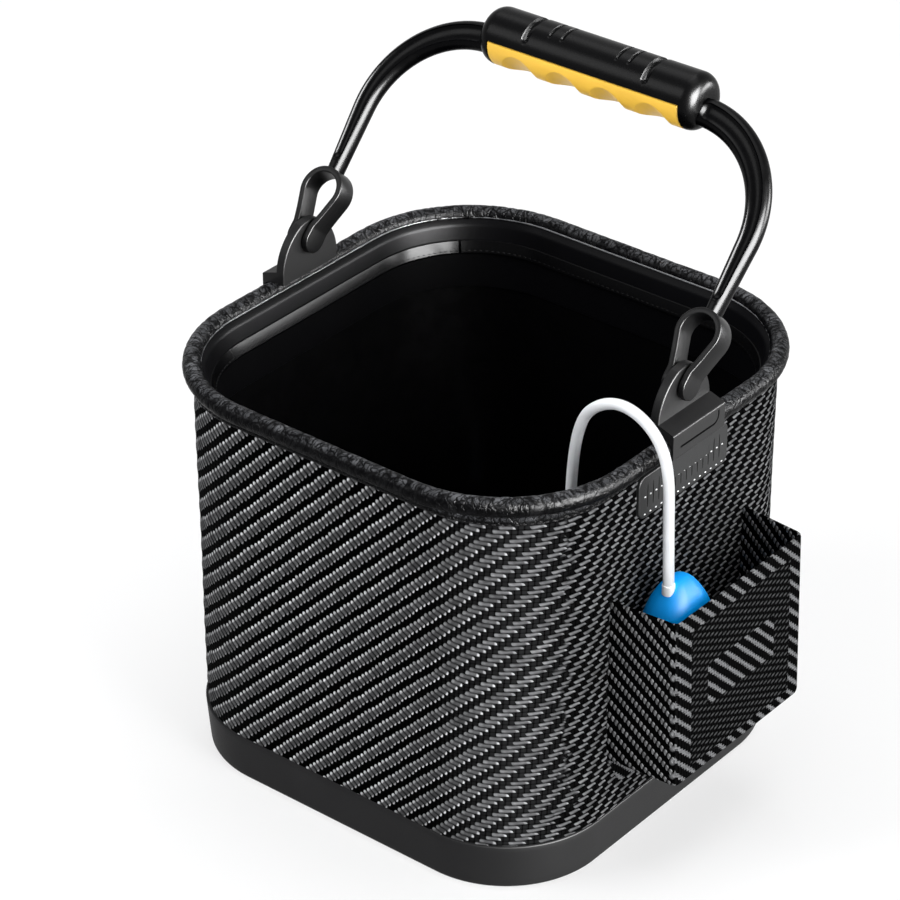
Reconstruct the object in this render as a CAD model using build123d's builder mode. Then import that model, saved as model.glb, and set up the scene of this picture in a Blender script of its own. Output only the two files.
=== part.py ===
from build123d import *
import os
from math import cos, pi, radians, sin, tan

os.makedirs("parts", exist_ok=True)

# Lengths are in millimetres and angles in degrees. The floor is z = 0 and +Z is up.
# The origin is the centre of the base, and the side pocket is on +X.

# base, wall and liner, as half widths of a rounded square
base_half = 115.6
base_corner = 55.0
base_height = 25.8
base_flare = 4.0
base_floor = 2.2
base_edge = 2.5
board_inset = 1.0
wall_half = 116.6
wall_corner = 57.0
wall_thickness = 3.1
wall_top = 213.6
floor_board_thickness = 3.0
liner_thickness = 1.0
liner_top = 217.0
fit_gap = 0.1
overcut = 1.0    # how far a cutting shape runs past the face that it opens

# rim: a hoop wire in a piping tube, with a flat binding tape below it
rim_half = 121.1
rim_corner = 69.0
rim_height = 217.7
piping_radius = 3.9
wire_radius = 1.6
tape_thickness = 1.3
tape_low = 206.8
seam = 0.001

# moulded collar inside the mouth
collar_half = 111.2
collar_corner = 58.0
collar_low = 179.0
collar_lip_top = 218.4
ridge_half = 109.4
ridge_corner = 56.5
ridge_low = 199.5
ridge_high = 206.4

# side pocket
pocket_root_half = 54.0
pocket_front_half = 51.0
pocket_front_top = 153.5
pocket_front_low = 156.0
pocket_low = 55.5
pocket_top = 148.5
pocket_thickness = 1.8
pocket_corner = 4.0
pocket_foot_round = 4.0
flap_low = 40.0
flap_low_half = 44.6
flap_thickness = 1.2
flap_overlap = 1.0

# bail pivot and brackets
pivot_height = 241.0
ear_middle = 114.7
ear_thickness = 5.0
ear_half = 20.3
ear_shoulder = (15.0, 242.2)
ear_crown_half = 5.5
ear_crown_rise = 0.9
ear_top = 250.8
ear_edge_round = 0.8
bracket_low = 212.0
bracket_front = 126.0
shelf_high = 228.3
shelf_low = 225.4
bracket_under = 222.2
bracket_edge_round = 1.0
slit_start = -14.5
slit_end = 11.3
slit_level = 217.4
slit_bend = 4.0
slit_rise = 2.2
slit_width = 1.1
slit_depth = 0.8
flange_width = 70.0
flange_shift = -1.0
flange_low = 184.0
flange_high = 206.7
flange_corner = 5.0
flange_edge_round = 0.6
flange_thickness = 2.2
tab_half = 18.3
tab_thickness = 1.2

# bail
bail_tilt = 42.2
bow_start = 34.0
bow_depth = 10.5
bow_round = 2.2
# each contour of the bow's arm, and of the channel in its face: half width at its foot, half width and
# rise at its corner, and the bend there
arm_outside = (118.8, 125.9, 130.8, 57.5)
arm_inside = (111.2, 109.5, 116.2, 47.0)
arm_end = 61.0
channel_outside = (116.7, 123.1, 128.2, 54.9)
channel_inside = (113.9, 114.7, 121.0, 47.5)
channel_start = 41.0
channel_end = 63.5
channel_depth = 2.0
bar_width = 6.6
bar_depth = 10.1
bar_lap = 1.0
clevis_reach = 13.0
clevis_loop_rise = 24.1
clevis_loop_radius = 11.9
clevis_strap = 3.0
clevis_end_radius = 7.1
clevis_top_width = 12.4
clevis_foot = 8.0
clevis_heel = 5.0
leg_gap = 3.5
pin_radius = 2.5
pin_clearance = 0.05
pin_half_length = 5.5
pin_chamfer = 0.3
grip_rise = 127.3
grip_half = 65.0
grip_radius = 14.5
grip_end_round = 7.5
insert_half = 57.5
insert_depth = 3.4
insert_reach = 73.0
insert_play = 0.4
finger_pitch = 26.7
finger_radius = 17.0
finger_bite = 1.9
tunnel_gap = 0.1
# each grip groove: distance from the middle, half width, and reach either side of the top
grip_grooves = ((35.8, 1.5, 83.0), (23.7, 0.65, 57.0), (16.5, 0.65, 57.0))
grip_groove_depth = 1.2

# air pump, standing in the pocket
pump_x = 134.5
pump_y = -24.6
pump_foot = 57.5
pump_width = 30.0
pump_length = 38.0
pump_corner = 12.0
pump_foot_round = 2.0
case_thickness = 1.8
case_split = 117.5
seal_height = 1.0
seal_inset = 0.3
# each level of the dome: height, width, length and corner radius
dome_levels = ((118.5, 30.0, 38.0, 12.0), (131.0, 29.4, 37.0, 12.0), (143.0, 25.2, 31.4, 11.0),
               (151.0, 17.5, 21.5, 8.0), (156.0, 7.6, 9.4, 3.6))
dome_top_round = 2.2
boss_radius = 2.6
boss_places = ((-8.6, -12.6), (8.6, -12.6))
screw_radius = 0.9
screw_head_radius = 1.9
screw_head_height = 1.3
screw_reach = 6.0

# controls on the pump's side
button_height = 108.0
button_radius = 5.0
button_stand = 0.8
button_flange_radius = 5.9
button_flange_depth = 0.7
button_flange_thickness = 0.6
button_stem_radius = 1.5
button_gap = 0.3
button_free_travel = 0.7
lamp_height = 97.0
lamp_radius = 1.6
lamp_stand = 0.3
lamp_edge = 0.25
port_height = 80.0
port_opening = (10.8, 5.2, 1.8)
port_shell = (9.0, 3.3, 1.3)
port_throat = (8.2, 2.5, 1.0)
port_rise = 3.3
port_back = 0.4
cover_plate = (13.0, 7.8, 2.0)
cover_drop = 0.5
cover_thickness = 1.2
cover_gap = 0.1
tongue = (9.8, 4.0, 1.6)
tongue_depth = 1.3
cover_hinge_height = 85.0
hinge_stand = 1.0
hinge_radius = 0.5
hinge_clearance = 0.03
knuckle_radius = 0.9
knuckle_half = 3.4
knuckle_web = 1.0
lug_middle = 4.4
lug_half = 0.8
lug_radius = 1.1
board_size = (18.0, 50.0)
board_middle = 86.5
board_thickness = 1.2
board_depth = 2.9
board_hole_pitch = (14.0, 46.0)
board_hole_radius = 0.8
switch_side = 5.0
switch_rise = 0.5

# battery, motor and diaphragm pump inside the case
battery_size = (20.0, 18.0, 25.5)
battery_corner = 3.0
battery_edge = 1.0
motor_radius = 10.0
motor_low = 88.0
motor_high = 112.0
motor_chamfer = 0.8
bearing_radius = 3.0
bearing_height = 1.5
shaft_radius = 1.0
shaft_clearance = 0.05
shaft_seat = 6.0
shaft_low = 106.5
shaft_high = 117.5
chassis_top = 114.0
chassis_thickness = 2.0
chassis_inset = (0.4, 4.6)
chassis_bore = 3.2
hub_low = 115.5
hub_radius = 4.6
hub_height = 4.0
crank_throw = 2.5
crank_radius = 0.9
crank_height = 4.4
rocker_low = 120.9
rocker_radius = 8.2
rocker_bore = 4.0
rocker_thickness = 1.6
cup_circle = 6.4
cup_stem_radius = 1.0
cup_radius = 2.6
cup_height = 1.6
head_radius = 11.6
head_thickness = 1.5
diaphragm_low = 127.0
diaphragm_thickness = 1.2
valve_height = 6.0
valve_well = (3.0, 2.6)
spout_radius = 1.9
spout_height = 5.0
air_bore = 0.8
hose_radius = 2.9
hose_bore = 1.95
hose_high = 147.0
nipple_y = -32.6
stem_low = 143.0
collar_foot = 149.5
collar_radius = 3.1
nipple_shoulder = 154.5
nipple_radius = 1.4
barb_length = 6.0

# air tube and stone
tube_radius = 2.7
tube_bore = 1.6
tube_points = [
    (134.5, -32.6, 154.5), (133.9, -33.1, 184.0), (133.0, -32.8, 214.5), (127.5, -32.9, 229.5),
    (116.8, -32.8, 238.5), (104.0, -32.6, 241.0), (91.9, -32.9, 236.1), (82.6, -33.0, 225.7),
    (77.6, -32.7, 202.2), (75.6, -31.8, 166.0), (73.6, -30.4, 122.0), (70.4, -28.0, 78.0),
    (64.4, -24.4, 42.0), (54.0, -19.5, 19.5), (36.0, -14.5, 9.6), (10.0, -14.9, 9.1),
    (-15.0, -8.0, 9.2), (-34.0, 8.0, 13.2), (-45.0, 26.0, 13.4)]
fitting_radius = 3.6
fitting_length = 2.0
fitting_bore = 0.7
spigot_length = 8.0
stone_radius = 7.2
stone_length = 28.0
stone_chamfer = 0.8
stone_bore = 1.2
stone_bore_length = 17.0


def finish(piece, name):
    piece.part.label = name
    export_step(piece.part, f"parts/{name}.step")


def rounded_square(half, corner, mode=Mode.ADD):
    RectangleRounded(2 * half, 2 * half, corner, mode=mode)


def square_ring(outer, inner, low, high):
    """A rounded-square ring; outer and inner are each a half width and a corner radius."""
    with BuildPart() as ring:
        with BuildSketch(Plane.XY.offset(low)):
            rounded_square(*outer)
            rounded_square(*inner, mode=Mode.SUBTRACT)
        extrude(amount=high - low)
    return ring


# ---- bucket ----
wall_inner = (wall_half - wall_thickness, wall_corner - wall_thickness)
liner_outer = (wall_inner[0] - fit_gap, wall_inner[1] - fit_gap)
liner_inner = (liner_outer[0] - liner_thickness, liner_outer[1] - liner_thickness)
board_top = base_floor + floor_board_thickness
floor_top = board_top + liner_thickness

with BuildPart() as base_tray:
    with BuildSketch():
        rounded_square(base_half, base_corner)
    extrude(amount=base_height, taper=-base_flare)
    fillet(base_tray.edges().group_by(Axis.Z)[0], base_edge)
    with BuildSketch(Plane.XY.offset(base_floor)):
        rounded_square(*wall_inner)
    extrude(amount=base_height, mode=Mode.SUBTRACT)
finish(base_tray, "base_tray")

with BuildPart() as base_board:
    with BuildSketch(Plane.XY.offset(base_floor)):
        rounded_square(liner_outer[0] - board_inset, liner_outer[1] - board_inset)
    extrude(amount=floor_board_thickness)
finish(base_board, "base_board")

wall_shell = square_ring((wall_half, wall_corner), wall_inner, base_height, wall_top)
finish(wall_shell, "wall_shell")

with BuildPart() as inner_liner:
    with BuildSketch(Plane.XY.offset(board_top)):
        rounded_square(*liner_outer)
    extrude(amount=liner_top - board_top)
    with BuildSketch(Plane.XY.offset(floor_top)):
        rounded_square(*liner_inner)
    extrude(amount=liner_top, mode=Mode.SUBTRACT)
finish(inner_liner, "inner_liner")

tape_outer = (wall_half + tape_thickness, wall_corner + tape_thickness)
binding_tape = square_ring(tape_outer, (wall_half, wall_corner), tape_low, wall_top)
finish(binding_tape, "binding_tape")


def rim_ring(radius, bore):
    """A round tube or wire swept along the rounded square of the rim."""
    with BuildPart() as ring:
        with BuildLine(Plane.XY.offset(rim_height)) as rim_line:
            half, corner = rim_half, rim_corner
            FilletPolyline((0, -half), (half, -half), (half, half), (-half, half), (-half, -half),
                           (-seam, -half), radius=corner)
            Line((-seam, -half), (0, -half))
        with BuildSketch(Plane(origin=(0, -half, rim_height), x_dir=(0, 1, 0), z_dir=(1, 0, 0))):
            Circle(radius)
            if bore:
                Circle(bore, mode=Mode.SUBTRACT)
        sweep(path=rim_line.line)
    return ring


rim_piping = rim_ring(piping_radius, wire_radius + fit_gap)
finish(rim_piping, "rim_piping")
rim_wire = rim_ring(wire_radius, 0)
finish(rim_wire, "rim_wire")

# The collar lines the mouth, with a rounded ridge half way and a lip that meets the piping.
collar_back = (liner_inner[0] - fit_gap, liner_inner[1] - fit_gap)
lip_outer = (rim_half - piping_radius - fit_gap, rim_corner - piping_radius - fit_gap)
with BuildPart() as rim_collar:
    with BuildSketch(Plane.XY.offset(collar_low)):
        rounded_square(*collar_back)
    extrude(amount=liner_top - collar_low)
    with BuildSketch(Plane.XY.offset(liner_top)):
        rounded_square(*lip_outer)
    extrude(amount=collar_lip_top - liner_top)
    for low, high, half, corner in (
            (collar_low, ridge_low, collar_half, collar_corner),
            (ridge_low, ridge_high, ridge_half, ridge_corner),
            (ridge_high, collar_lip_top, collar_half, collar_corner)):
        with BuildSketch(Plane.XY.offset(low)):
            rounded_square(half, corner)
        extrude(amount=high - low, mode=Mode.SUBTRACT)
finish(rim_collar, "rim_collar")

# The pocket has a front panel, two gussets and a floor, and the wall is its back. The front leans out
# towards its foot, and the floor's sheet is sewn to the wall below as a flap.
with BuildPart() as side_pocket:
    for inset, low, mode in ((0, pocket_low, Mode.ADD),
                             (pocket_thickness, pocket_low + pocket_thickness, Mode.SUBTRACT)):
        root = pocket_root_half - inset
        half = pocket_front_half - inset
        for height, front in ((low, pocket_front_low - inset), (pocket_top, pocket_front_top - inset)):
            with BuildSketch(Plane.XY.offset(height)) as pocket_plan:
                with BuildLine():
                    Polyline((wall_half, -root), (front, -half), (front, half), (wall_half, root),
                             close=True)
                make_face()
                fillet(pocket_plan.vertices().group_by(Axis.X)[-1], pocket_corner - inset)
        loft(ruled=True, mode=mode)
        if not inset:
            fillet(side_pocket.edges().group_by(Axis.Z)[0].filter_by(
                lambda edge: edge.center().X > wall_half + 1), pocket_foot_round)
    flap_top = pocket_low + flap_overlap
    flap_top_half = pocket_root_half - flap_overlap
    with BuildSketch(Plane.YZ.offset(wall_half)):
        Polygon((-flap_top_half, flap_top), (-flap_low_half, flap_low), (flap_low_half, flap_low),
                (flap_top_half, flap_top), align=None)
    extrude(amount=flap_thickness)
finish(side_pocket, "side_pocket")

# ---- brackets ----
ear_inside = ear_middle - ear_thickness / 2
ear_outside = ear_middle + ear_thickness / 2
tape_face = wall_half + tape_thickness
flange_middle = (flange_low + flange_high) / 2

with BuildPart() as ear_bracket_right:
    with BuildSketch(Plane.XZ.offset(-ear_half)):
        with BuildLine():
            Polyline((tape_face, bracket_low), (bracket_front, bracket_low), (bracket_front, shelf_low),
                     (ear_outside, shelf_high), (ear_inside, shelf_high),
                     (ear_inside, bracket_under), (tape_face, bracket_under), close=True)
        make_face()
    extrude(amount=2 * ear_half)
    with BuildSketch(Plane.YZ.offset(ear_inside)):
        with BuildLine():
            base = Line((-ear_half, shelf_low), (ear_half, shelf_low))
            Line(base @ 1, (ear_half, shelf_high))
            Line(base @ 0, (-ear_half, shelf_high))
            crown = ThreePointArc((-ear_crown_half, ear_top - ear_crown_rise), (0, ear_top),
                                  (ear_crown_half, ear_top - ear_crown_rise))
            ThreePointArc((ear_half, shelf_high), ear_shoulder, crown @ 1)
            ThreePointArc((-ear_half, shelf_high), (-ear_shoulder[0], ear_shoulder[1]), crown @ 0)
        make_face()
    extrude(amount=ear_thickness)
    ear_rim = ear_bracket_right.edges().filter_by(lambda edge: edge.center().Z > shelf_high + 1)
    fillet(ear_rim, ear_edge_round)
    fillet(ear_bracket_right.edges().filter_by(Axis.Y).group_by(Axis.X)[-1], bracket_edge_round)
    with BuildSketch(Plane.XZ.offset(-ear_half)):
        with Locations((rim_half, rim_height)):
            Circle(piping_radius + fit_gap / 2)
    extrude(amount=2 * ear_half, mode=Mode.SUBTRACT)
    with BuildSketch(Plane.YZ.offset(ear_inside)):
        with Locations((0, pivot_height)):
            Circle(pin_radius + pin_clearance)
    extrude(amount=ear_thickness, mode=Mode.SUBTRACT)
    with BuildSketch(Plane.YZ.offset(bracket_front - slit_depth)):
        with BuildLine():
            along = Line((slit_start, slit_level), (slit_end, slit_level))
            bend = JernArc(along @ 1, along % 1, slit_bend, 90)
            Line(bend @ 1, bend @ 1 + Vector(0, slit_rise))
        trace(line_width=slit_width)
    extrude(amount=slit_depth + overcut, mode=Mode.SUBTRACT)
finish(ear_bracket_right, "ear_bracket_right")

with BuildPart() as sewn_flange_right:
    with BuildSketch(Plane.YZ.offset(wall_half)):
        with Locations((flange_shift, flange_middle)):
            RectangleRounded(flange_width, flange_high - flange_low, flange_corner)
    extrude(amount=flange_thickness)
    fillet(sewn_flange_right.faces().sort_by(Axis.X)[-1].edges(), flange_edge_round)
    with BuildSketch(Plane.YZ.offset(tape_face)):
        with Locations((0, flange_middle)):
            Rectangle(2 * tab_half, bracket_low - flange_middle, align=(Align.CENTER, Align.MIN))
    extrude(amount=tab_thickness)
finish(sewn_flange_right, "sewn_flange_right")

for source, name in ((ear_bracket_right, "ear_bracket_left"), (sewn_flange_right, "sewn_flange_left")):
    with BuildPart() as mirrored:
        mirror(source.part, about=Plane.YZ)
    finish(mirrored, name)

# ---- bail ----
# The bail lies in a plane through the pivot axis. Its x is the pivot axis and its y goes to the grip.
tilt = radians(bail_tilt)
pivot = Vector(0, 0, pivot_height)
up_bail = Vector(0, sin(tilt), cos(tilt))
out_bail = Vector(0, -cos(tilt), sin(tilt))
bail_plane = Plane(origin=pivot, x_dir=(1, 0, 0), z_dir=out_bail)
grip_axis = pivot + up_bail * grip_rise
grip_plane = Plane(origin=grip_axis, x_dir=-up_bail, z_dir=(1, 0, 0))


def bow_band(side, foot, outside, inside, end, height, depth, edge_round=0.0):
    """A flat band between two contours of one arm, raised from a height over the bail's plane."""
    with BuildPart() as band:
        with BuildSketch(bail_plane.offset(height)):
            with BuildLine():
                lines = [FilletPolyline((side * foot_half, foot), (side * corner_half, rise),
                                        (side * end, rise), radius=bend)
                         for foot_half, corner_half, rise, bend in (outside, inside)]
                Line(lines[0] @ 0, lines[1] @ 0)
                Line(lines[0] @ 1, lines[1] @ 1)
            make_face()
        extrude(amount=depth)
        if edge_round:
            fillet(band.edges().filter_by(GeomType.CIRCLE), edge_round)
    return band


# Each arm widens from the clevis to the grip, and a bar through the grip joins the two.
with BuildPart() as bail_bow:
    for side in (-1, 1):
        arm = bow_band(side, bow_start, arm_outside, arm_inside, arm_end, -bow_depth / 2, bow_depth,
                       bow_round)
        add(arm.part)
        channel = bow_band(side, channel_start, channel_outside, channel_inside, channel_end,
                           bow_depth / 2 - channel_depth, channel_depth + overcut)
        add(channel.part, mode=Mode.SUBTRACT)
    with BuildSketch(grip_plane.offset(-arm_end - bar_lap)):
        RectangleRounded(bar_width, bar_depth, bow_round)
    extrude(amount=2 * (arm_end + bar_lap))
finish(bail_bow, "bail_bow")


def clevis(side):
    """A strap bent into a teardrop, whose legs hold the ear between them."""
    middle = Vector(side * ear_middle, 0, pivot_height)
    front_plane = Plane(origin=middle, x_dir=(1, 0, 0), z_dir=out_bail)
    side_plane = Plane(origin=middle, x_dir=-out_bail, z_dir=(1, 0, 0))
    inner_radius = clevis_loop_radius - clevis_strap
    leg_outer = leg_gap + clevis_strap
    with BuildPart() as strap:
        for radius, half, foot, mode in (
                (clevis_loop_radius, leg_outer, clevis_foot, Mode.ADD),
                (inner_radius, leg_gap, clevis_foot + overcut, Mode.SUBTRACT)):
            with BuildSketch(front_plane):
                with Locations((0, clevis_loop_rise)):
                    Circle(radius)
                with Locations((0, -foot)):
                    Rectangle(2 * half, clevis_heel + foot, align=(Align.CENTER, Align.MIN))
                make_hull()
            extrude(amount=clevis_end_radius, both=True, mode=mode)
        with BuildSketch(side_plane):
            Circle(clevis_end_radius)
            with Locations((0, clevis_loop_rise)):
                Rectangle(clevis_top_width, 2 * clevis_loop_radius + overcut)
            make_hull()
        extrude(amount=clevis_reach, both=True, mode=Mode.INTERSECT)
        with BuildSketch(side_plane):
            Circle(pin_radius)
        extrude(amount=pin_half_length, both=True, mode=Mode.SUBTRACT)
        add(bail_bow.part, mode=Mode.SUBTRACT)
    return strap


def pivot_pin(side):
    with BuildPart() as pin:
        with BuildSketch(Plane.YZ.offset(side * ear_middle)):
            with Locations((0, pivot_height)):
                Circle(pin_radius)
        extrude(amount=pin_half_length, both=True)
        chamfer(pin.edges(), pin_chamfer)
    return pin


for side, word in ((1, "right"), (-1, "left")):
    finish(clevis(side), f"clevis_{word}")
    finish(pivot_pin(side), f"pivot_pin_{word}")

# The grip is moulded round the straight of the bow, and holds a soft insert below.
def grip_band(outer, inner, at, half, centre, reach):
    """A part of a tube round the grip axis; 0 degrees faces the pivot and 180 faces away."""
    with BuildPart() as band:
        with BuildSketch(grip_plane.offset(at - half)):
            with BuildLine():
                outer_arc = CenterArc((0, 0), outer, centre - reach, 2 * reach)
                inner_arc = CenterArc((0, 0), inner, centre - reach, 2 * reach)
                Line(outer_arc @ 0, inner_arc @ 0)
                Line(outer_arc @ 1, inner_arc @ 1)
            make_face()
        extrude(amount=2 * half)
    return band


insert_bed = grip_radius - insert_depth
insert_recess = grip_band(grip_radius + overcut, insert_bed, 0, insert_half, 0, insert_reach)
groove_cuts = [
    grip_band(grip_radius + overcut, grip_radius - grip_groove_depth, side * at, half, 180, reach)
    for at, half, reach in grip_grooves for side in (-1, 1)]

with BuildPart() as grip_shell:
    with BuildSketch(grip_plane.offset(-grip_half)):
        Circle(grip_radius)
    extrude(amount=2 * grip_half)
    fillet(grip_shell.edges(), grip_end_round)
    with BuildSketch(grip_plane.offset(-grip_half)):
        RectangleRounded(bar_width + 2 * tunnel_gap, bar_depth + 2 * tunnel_gap, bow_round)
    extrude(amount=2 * grip_half, mode=Mode.SUBTRACT)
    socket = grip_half + overcut - arm_end + tunnel_gap
    for foot in (-grip_half - overcut, arm_end - tunnel_gap):
        with BuildSketch(grip_plane.offset(foot)):
            with Locations((grip_rise - (arm_outside[2] + arm_inside[2]) / 2, 0)):
                RectangleRounded(arm_outside[2] - arm_inside[2] + 2 * tunnel_gap,
                                 bow_depth + 2 * tunnel_gap, bow_round)
        extrude(amount=socket, mode=Mode.SUBTRACT)
    add([insert_recess.part] + [cut.part for cut in groove_cuts], mode=Mode.SUBTRACT)
finish(grip_shell, "grip_shell")

insert_blank = grip_band(grip_radius, insert_bed, 0, insert_half - fit_gap, 0, insert_reach - insert_play)
with BuildPart() as grip_insert:
    add(insert_blank.part)
    hollow_axis = grip_radius + finger_radius - finger_bite
    for finger in range(4):
        centre = grip_axis - up_bail * hollow_axis + Vector((finger - 1.5) * finger_pitch, 0, 0)
        with BuildSketch(Plane(origin=centre, x_dir=(1, 0, 0), z_dir=out_bail)):
            Circle(finger_radius)
        extrude(amount=2 * grip_radius, both=True, mode=Mode.SUBTRACT)
finish(grip_insert, "grip_insert")

# ---- air pump ----
def pump_level(height, shift_y=0.0):
    return Plane(origin=(pump_x, pump_y + shift_y, height))


def turned(radius, low, high, bore=0.0, shift_y=0.0):
    """A round piece on the pump's upright axis, or beside it."""
    with BuildPart() as piece:
        with BuildSketch(pump_level(low, shift_y)):
            Circle(radius)
            if bore:
                Circle(bore, mode=Mode.SUBTRACT)
        extrude(amount=high - low)
    return piece


def side_plane_at(y, height):
    """A plane that faces out of the pump's side with the controls."""
    return Plane(origin=(pump_x, y, height), x_dir=(-1, 0, 0), z_dir=(0, 1, 0))


case_side = pump_y + pump_length / 2
inner_side = case_side - case_thickness
inner_plan = (pump_width - 2 * case_thickness, pump_length - 2 * case_thickness,
              pump_corner - case_thickness)
case_floor = pump_foot + case_thickness
board_front = inner_side - board_depth
hinge_y = case_side + hinge_stand
chassis_low = chassis_top - chassis_thickness
nipple_shift = nipple_y - pump_y

with BuildPart() as pump_lower_case:
    with BuildSketch(pump_level(pump_foot)):
        RectangleRounded(pump_width, pump_length, pump_corner)
    extrude(amount=case_split - pump_foot)
    fillet(pump_lower_case.edges().group_by(Axis.Z)[0], pump_foot_round)
    with BuildSketch(pump_level(case_floor)):
        RectangleRounded(*inner_plan)
    extrude(amount=case_split, mode=Mode.SUBTRACT)
    with BuildSketch(pump_level(case_floor)):
        with Locations(*boss_places):
            Circle(boss_radius)
            Circle(screw_radius, mode=Mode.SUBTRACT)
    extrude(amount=chassis_low - case_floor)
    with BuildSketch(side_plane_at(inner_side - overcut, 0)):
        with Locations((0, button_height)):
            Circle(button_radius + button_gap)
        with Locations((0, lamp_height)):
            Circle(lamp_radius)
        with Locations((0, port_height)):
            RectangleRounded(*port_opening)
    extrude(amount=case_thickness + 2 * overcut, mode=Mode.SUBTRACT)
    for side in (-1, 1):
        with BuildSketch(Plane.YZ.offset(pump_x + side * lug_middle - lug_half)):
            with Locations((case_side - case_thickness / 2, cover_hinge_height)):
                Rectangle(hinge_stand + case_thickness / 2, 2 * lug_radius,
                          align=(Align.MIN, Align.CENTER))
            with Locations((hinge_y, cover_hinge_height)):
                Circle(lug_radius)
                Circle(hinge_radius, mode=Mode.SUBTRACT)
        extrude(amount=2 * lug_half)
finish(pump_lower_case, "pump_lower_case")

with BuildPart() as port_cover:
    with BuildSketch(side_plane_at(case_side + cover_gap, port_height - cover_drop)):
        RectangleRounded(*cover_plate)
    extrude(amount=cover_thickness)
    with BuildSketch(side_plane_at(case_side - tongue_depth, port_height)):
        RectangleRounded(*tongue)
    extrude(amount=tongue_depth + cover_gap + cover_thickness / 2)
    with BuildSketch(Plane.YZ.offset(pump_x - knuckle_half)):
        with Locations((hinge_y, cover_hinge_height)):
            Circle(knuckle_radius)
        with Locations((case_side + cover_gap + cover_thickness, cover_hinge_height)):
            Rectangle(knuckle_web, cover_plate[1] / 2, align=Align.MAX)
        with Locations((hinge_y, cover_hinge_height)):
            Circle(hinge_radius + hinge_clearance, mode=Mode.SUBTRACT)
    extrude(amount=2 * knuckle_half)
finish(port_cover, "port_cover")

with BuildPart() as port_cover_pin:
    with BuildSketch(Plane.YZ.offset(pump_x - lug_middle - lug_half)):
        with Locations((hinge_y, cover_hinge_height)):
            Circle(hinge_radius)
    extrude(amount=2 * (lug_middle + lug_half))
finish(port_cover_pin, "port_cover_pin")

# The button has a cap in the case, a flange that keeps it in, and a stem over the switch.
stem_foot = board_front + switch_rise + button_free_travel
flange_foot = inner_side - button_flange_depth - button_flange_thickness
with BuildPart() as power_button:
    with BuildSketch(side_plane_at(flange_foot, button_height)):
        Circle(button_radius)
    extrude(amount=case_side + button_stand - flange_foot)
    fillet(power_button.edges().group_by(Axis.Y)[-1], button_stand / 2)
    with BuildSketch(side_plane_at(flange_foot, button_height)):
        Circle(button_flange_radius)
    extrude(amount=button_flange_thickness)
    with BuildSketch(side_plane_at(stem_foot, button_height)):
        Circle(button_stem_radius)
    extrude(amount=flange_foot - stem_foot)
finish(power_button, "power_button")

with BuildPart() as lamp_lens:
    with BuildSketch(side_plane_at(inner_side, lamp_height)):
        Circle(lamp_radius)
    extrude(amount=case_thickness + lamp_stand)
    fillet(lamp_lens.edges().group_by(Axis.Y)[-1], lamp_edge)
finish(lamp_lens, "lamp_lens")

with BuildPart() as circuit_board:
    with BuildSketch(side_plane_at(board_front - board_thickness, board_middle)):
        Rectangle(*board_size)
        with GridLocations(*board_hole_pitch, 2, 2):
            Circle(board_hole_radius, mode=Mode.SUBTRACT)
    extrude(amount=board_thickness)
finish(circuit_board, "circuit_board")

with BuildPart() as button_switch:
    with BuildSketch(side_plane_at(board_front, button_height)):
        Rectangle(switch_side, switch_side)
    extrude(amount=switch_rise)
finish(button_switch, "button_switch")

with BuildPart() as charging_port:
    with BuildSketch(side_plane_at(board_front, port_height)):
        RectangleRounded(*port_shell)
    extrude(amount=port_rise)
    with BuildSketch(side_plane_at(board_front + port_back, port_height)):
        RectangleRounded(*port_throat)
    extrude(amount=port_rise, mode=Mode.SUBTRACT)
finish(charging_port, "charging_port")

with BuildPart() as battery:
    with BuildSketch(pump_level(case_floor)):
        RectangleRounded(battery_size[0], battery_size[1], battery_corner)
    extrude(amount=battery_size[2])
    fillet(battery.edges().group_by(Axis.Z)[-1], battery_edge)
finish(battery, "battery")

with BuildPart() as pump_motor:
    with BuildSketch(pump_level(motor_low)):
        Circle(motor_radius)
    extrude(amount=motor_high - motor_low)
    chamfer(pump_motor.edges().group_by(Axis.Z)[0], motor_chamfer)
    with BuildSketch(pump_level(motor_low - bearing_height)):
        Circle(bearing_radius)
    extrude(amount=bearing_height)
    with BuildSketch(pump_level(motor_high - shaft_seat)):
        Circle(shaft_radius + shaft_clearance)
    extrude(amount=shaft_seat, mode=Mode.SUBTRACT)
finish(pump_motor, "pump_motor")

finish(turned(shaft_radius, shaft_low, shaft_high), "motor_shaft")

with BuildPart() as crank_hub:
    with BuildSketch(pump_level(hub_low)):
        Circle(hub_radius)
        Circle(shaft_radius, mode=Mode.SUBTRACT)
    extrude(amount=hub_height)
    with BuildSketch(pump_level(hub_low + hub_height)):
        with Locations((crank_throw, 0)):
            Circle(crank_radius)
    extrude(amount=crank_height)
finish(crank_hub, "crank_hub")

with BuildPart() as pump_chassis:
    with BuildSketch(pump_level(chassis_low)):
        RectangleRounded(inner_plan[0] - chassis_inset[0], inner_plan[1] - chassis_inset[1],
                         inner_plan[2] - 1)
        with Locations(*boss_places):
            Circle(screw_radius, mode=Mode.SUBTRACT)
        Circle(chassis_bore, mode=Mode.SUBTRACT)
    extrude(amount=chassis_thickness)
finish(pump_chassis, "pump_chassis")

with BuildPart() as chassis_screws:
    with BuildSketch(pump_level(chassis_top)):
        with Locations(*boss_places):
            Circle(screw_head_radius)
    extrude(amount=screw_head_height)
    with BuildSketch(pump_level(chassis_low - screw_reach)):
        with Locations(*boss_places):
            Circle(screw_radius)
    extrude(amount=chassis_thickness + screw_reach)
finish(chassis_screws, "chassis_screws")

finish(turned(head_radius, chassis_top, diaphragm_low, bore=head_radius - head_thickness), "pump_head")

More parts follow.
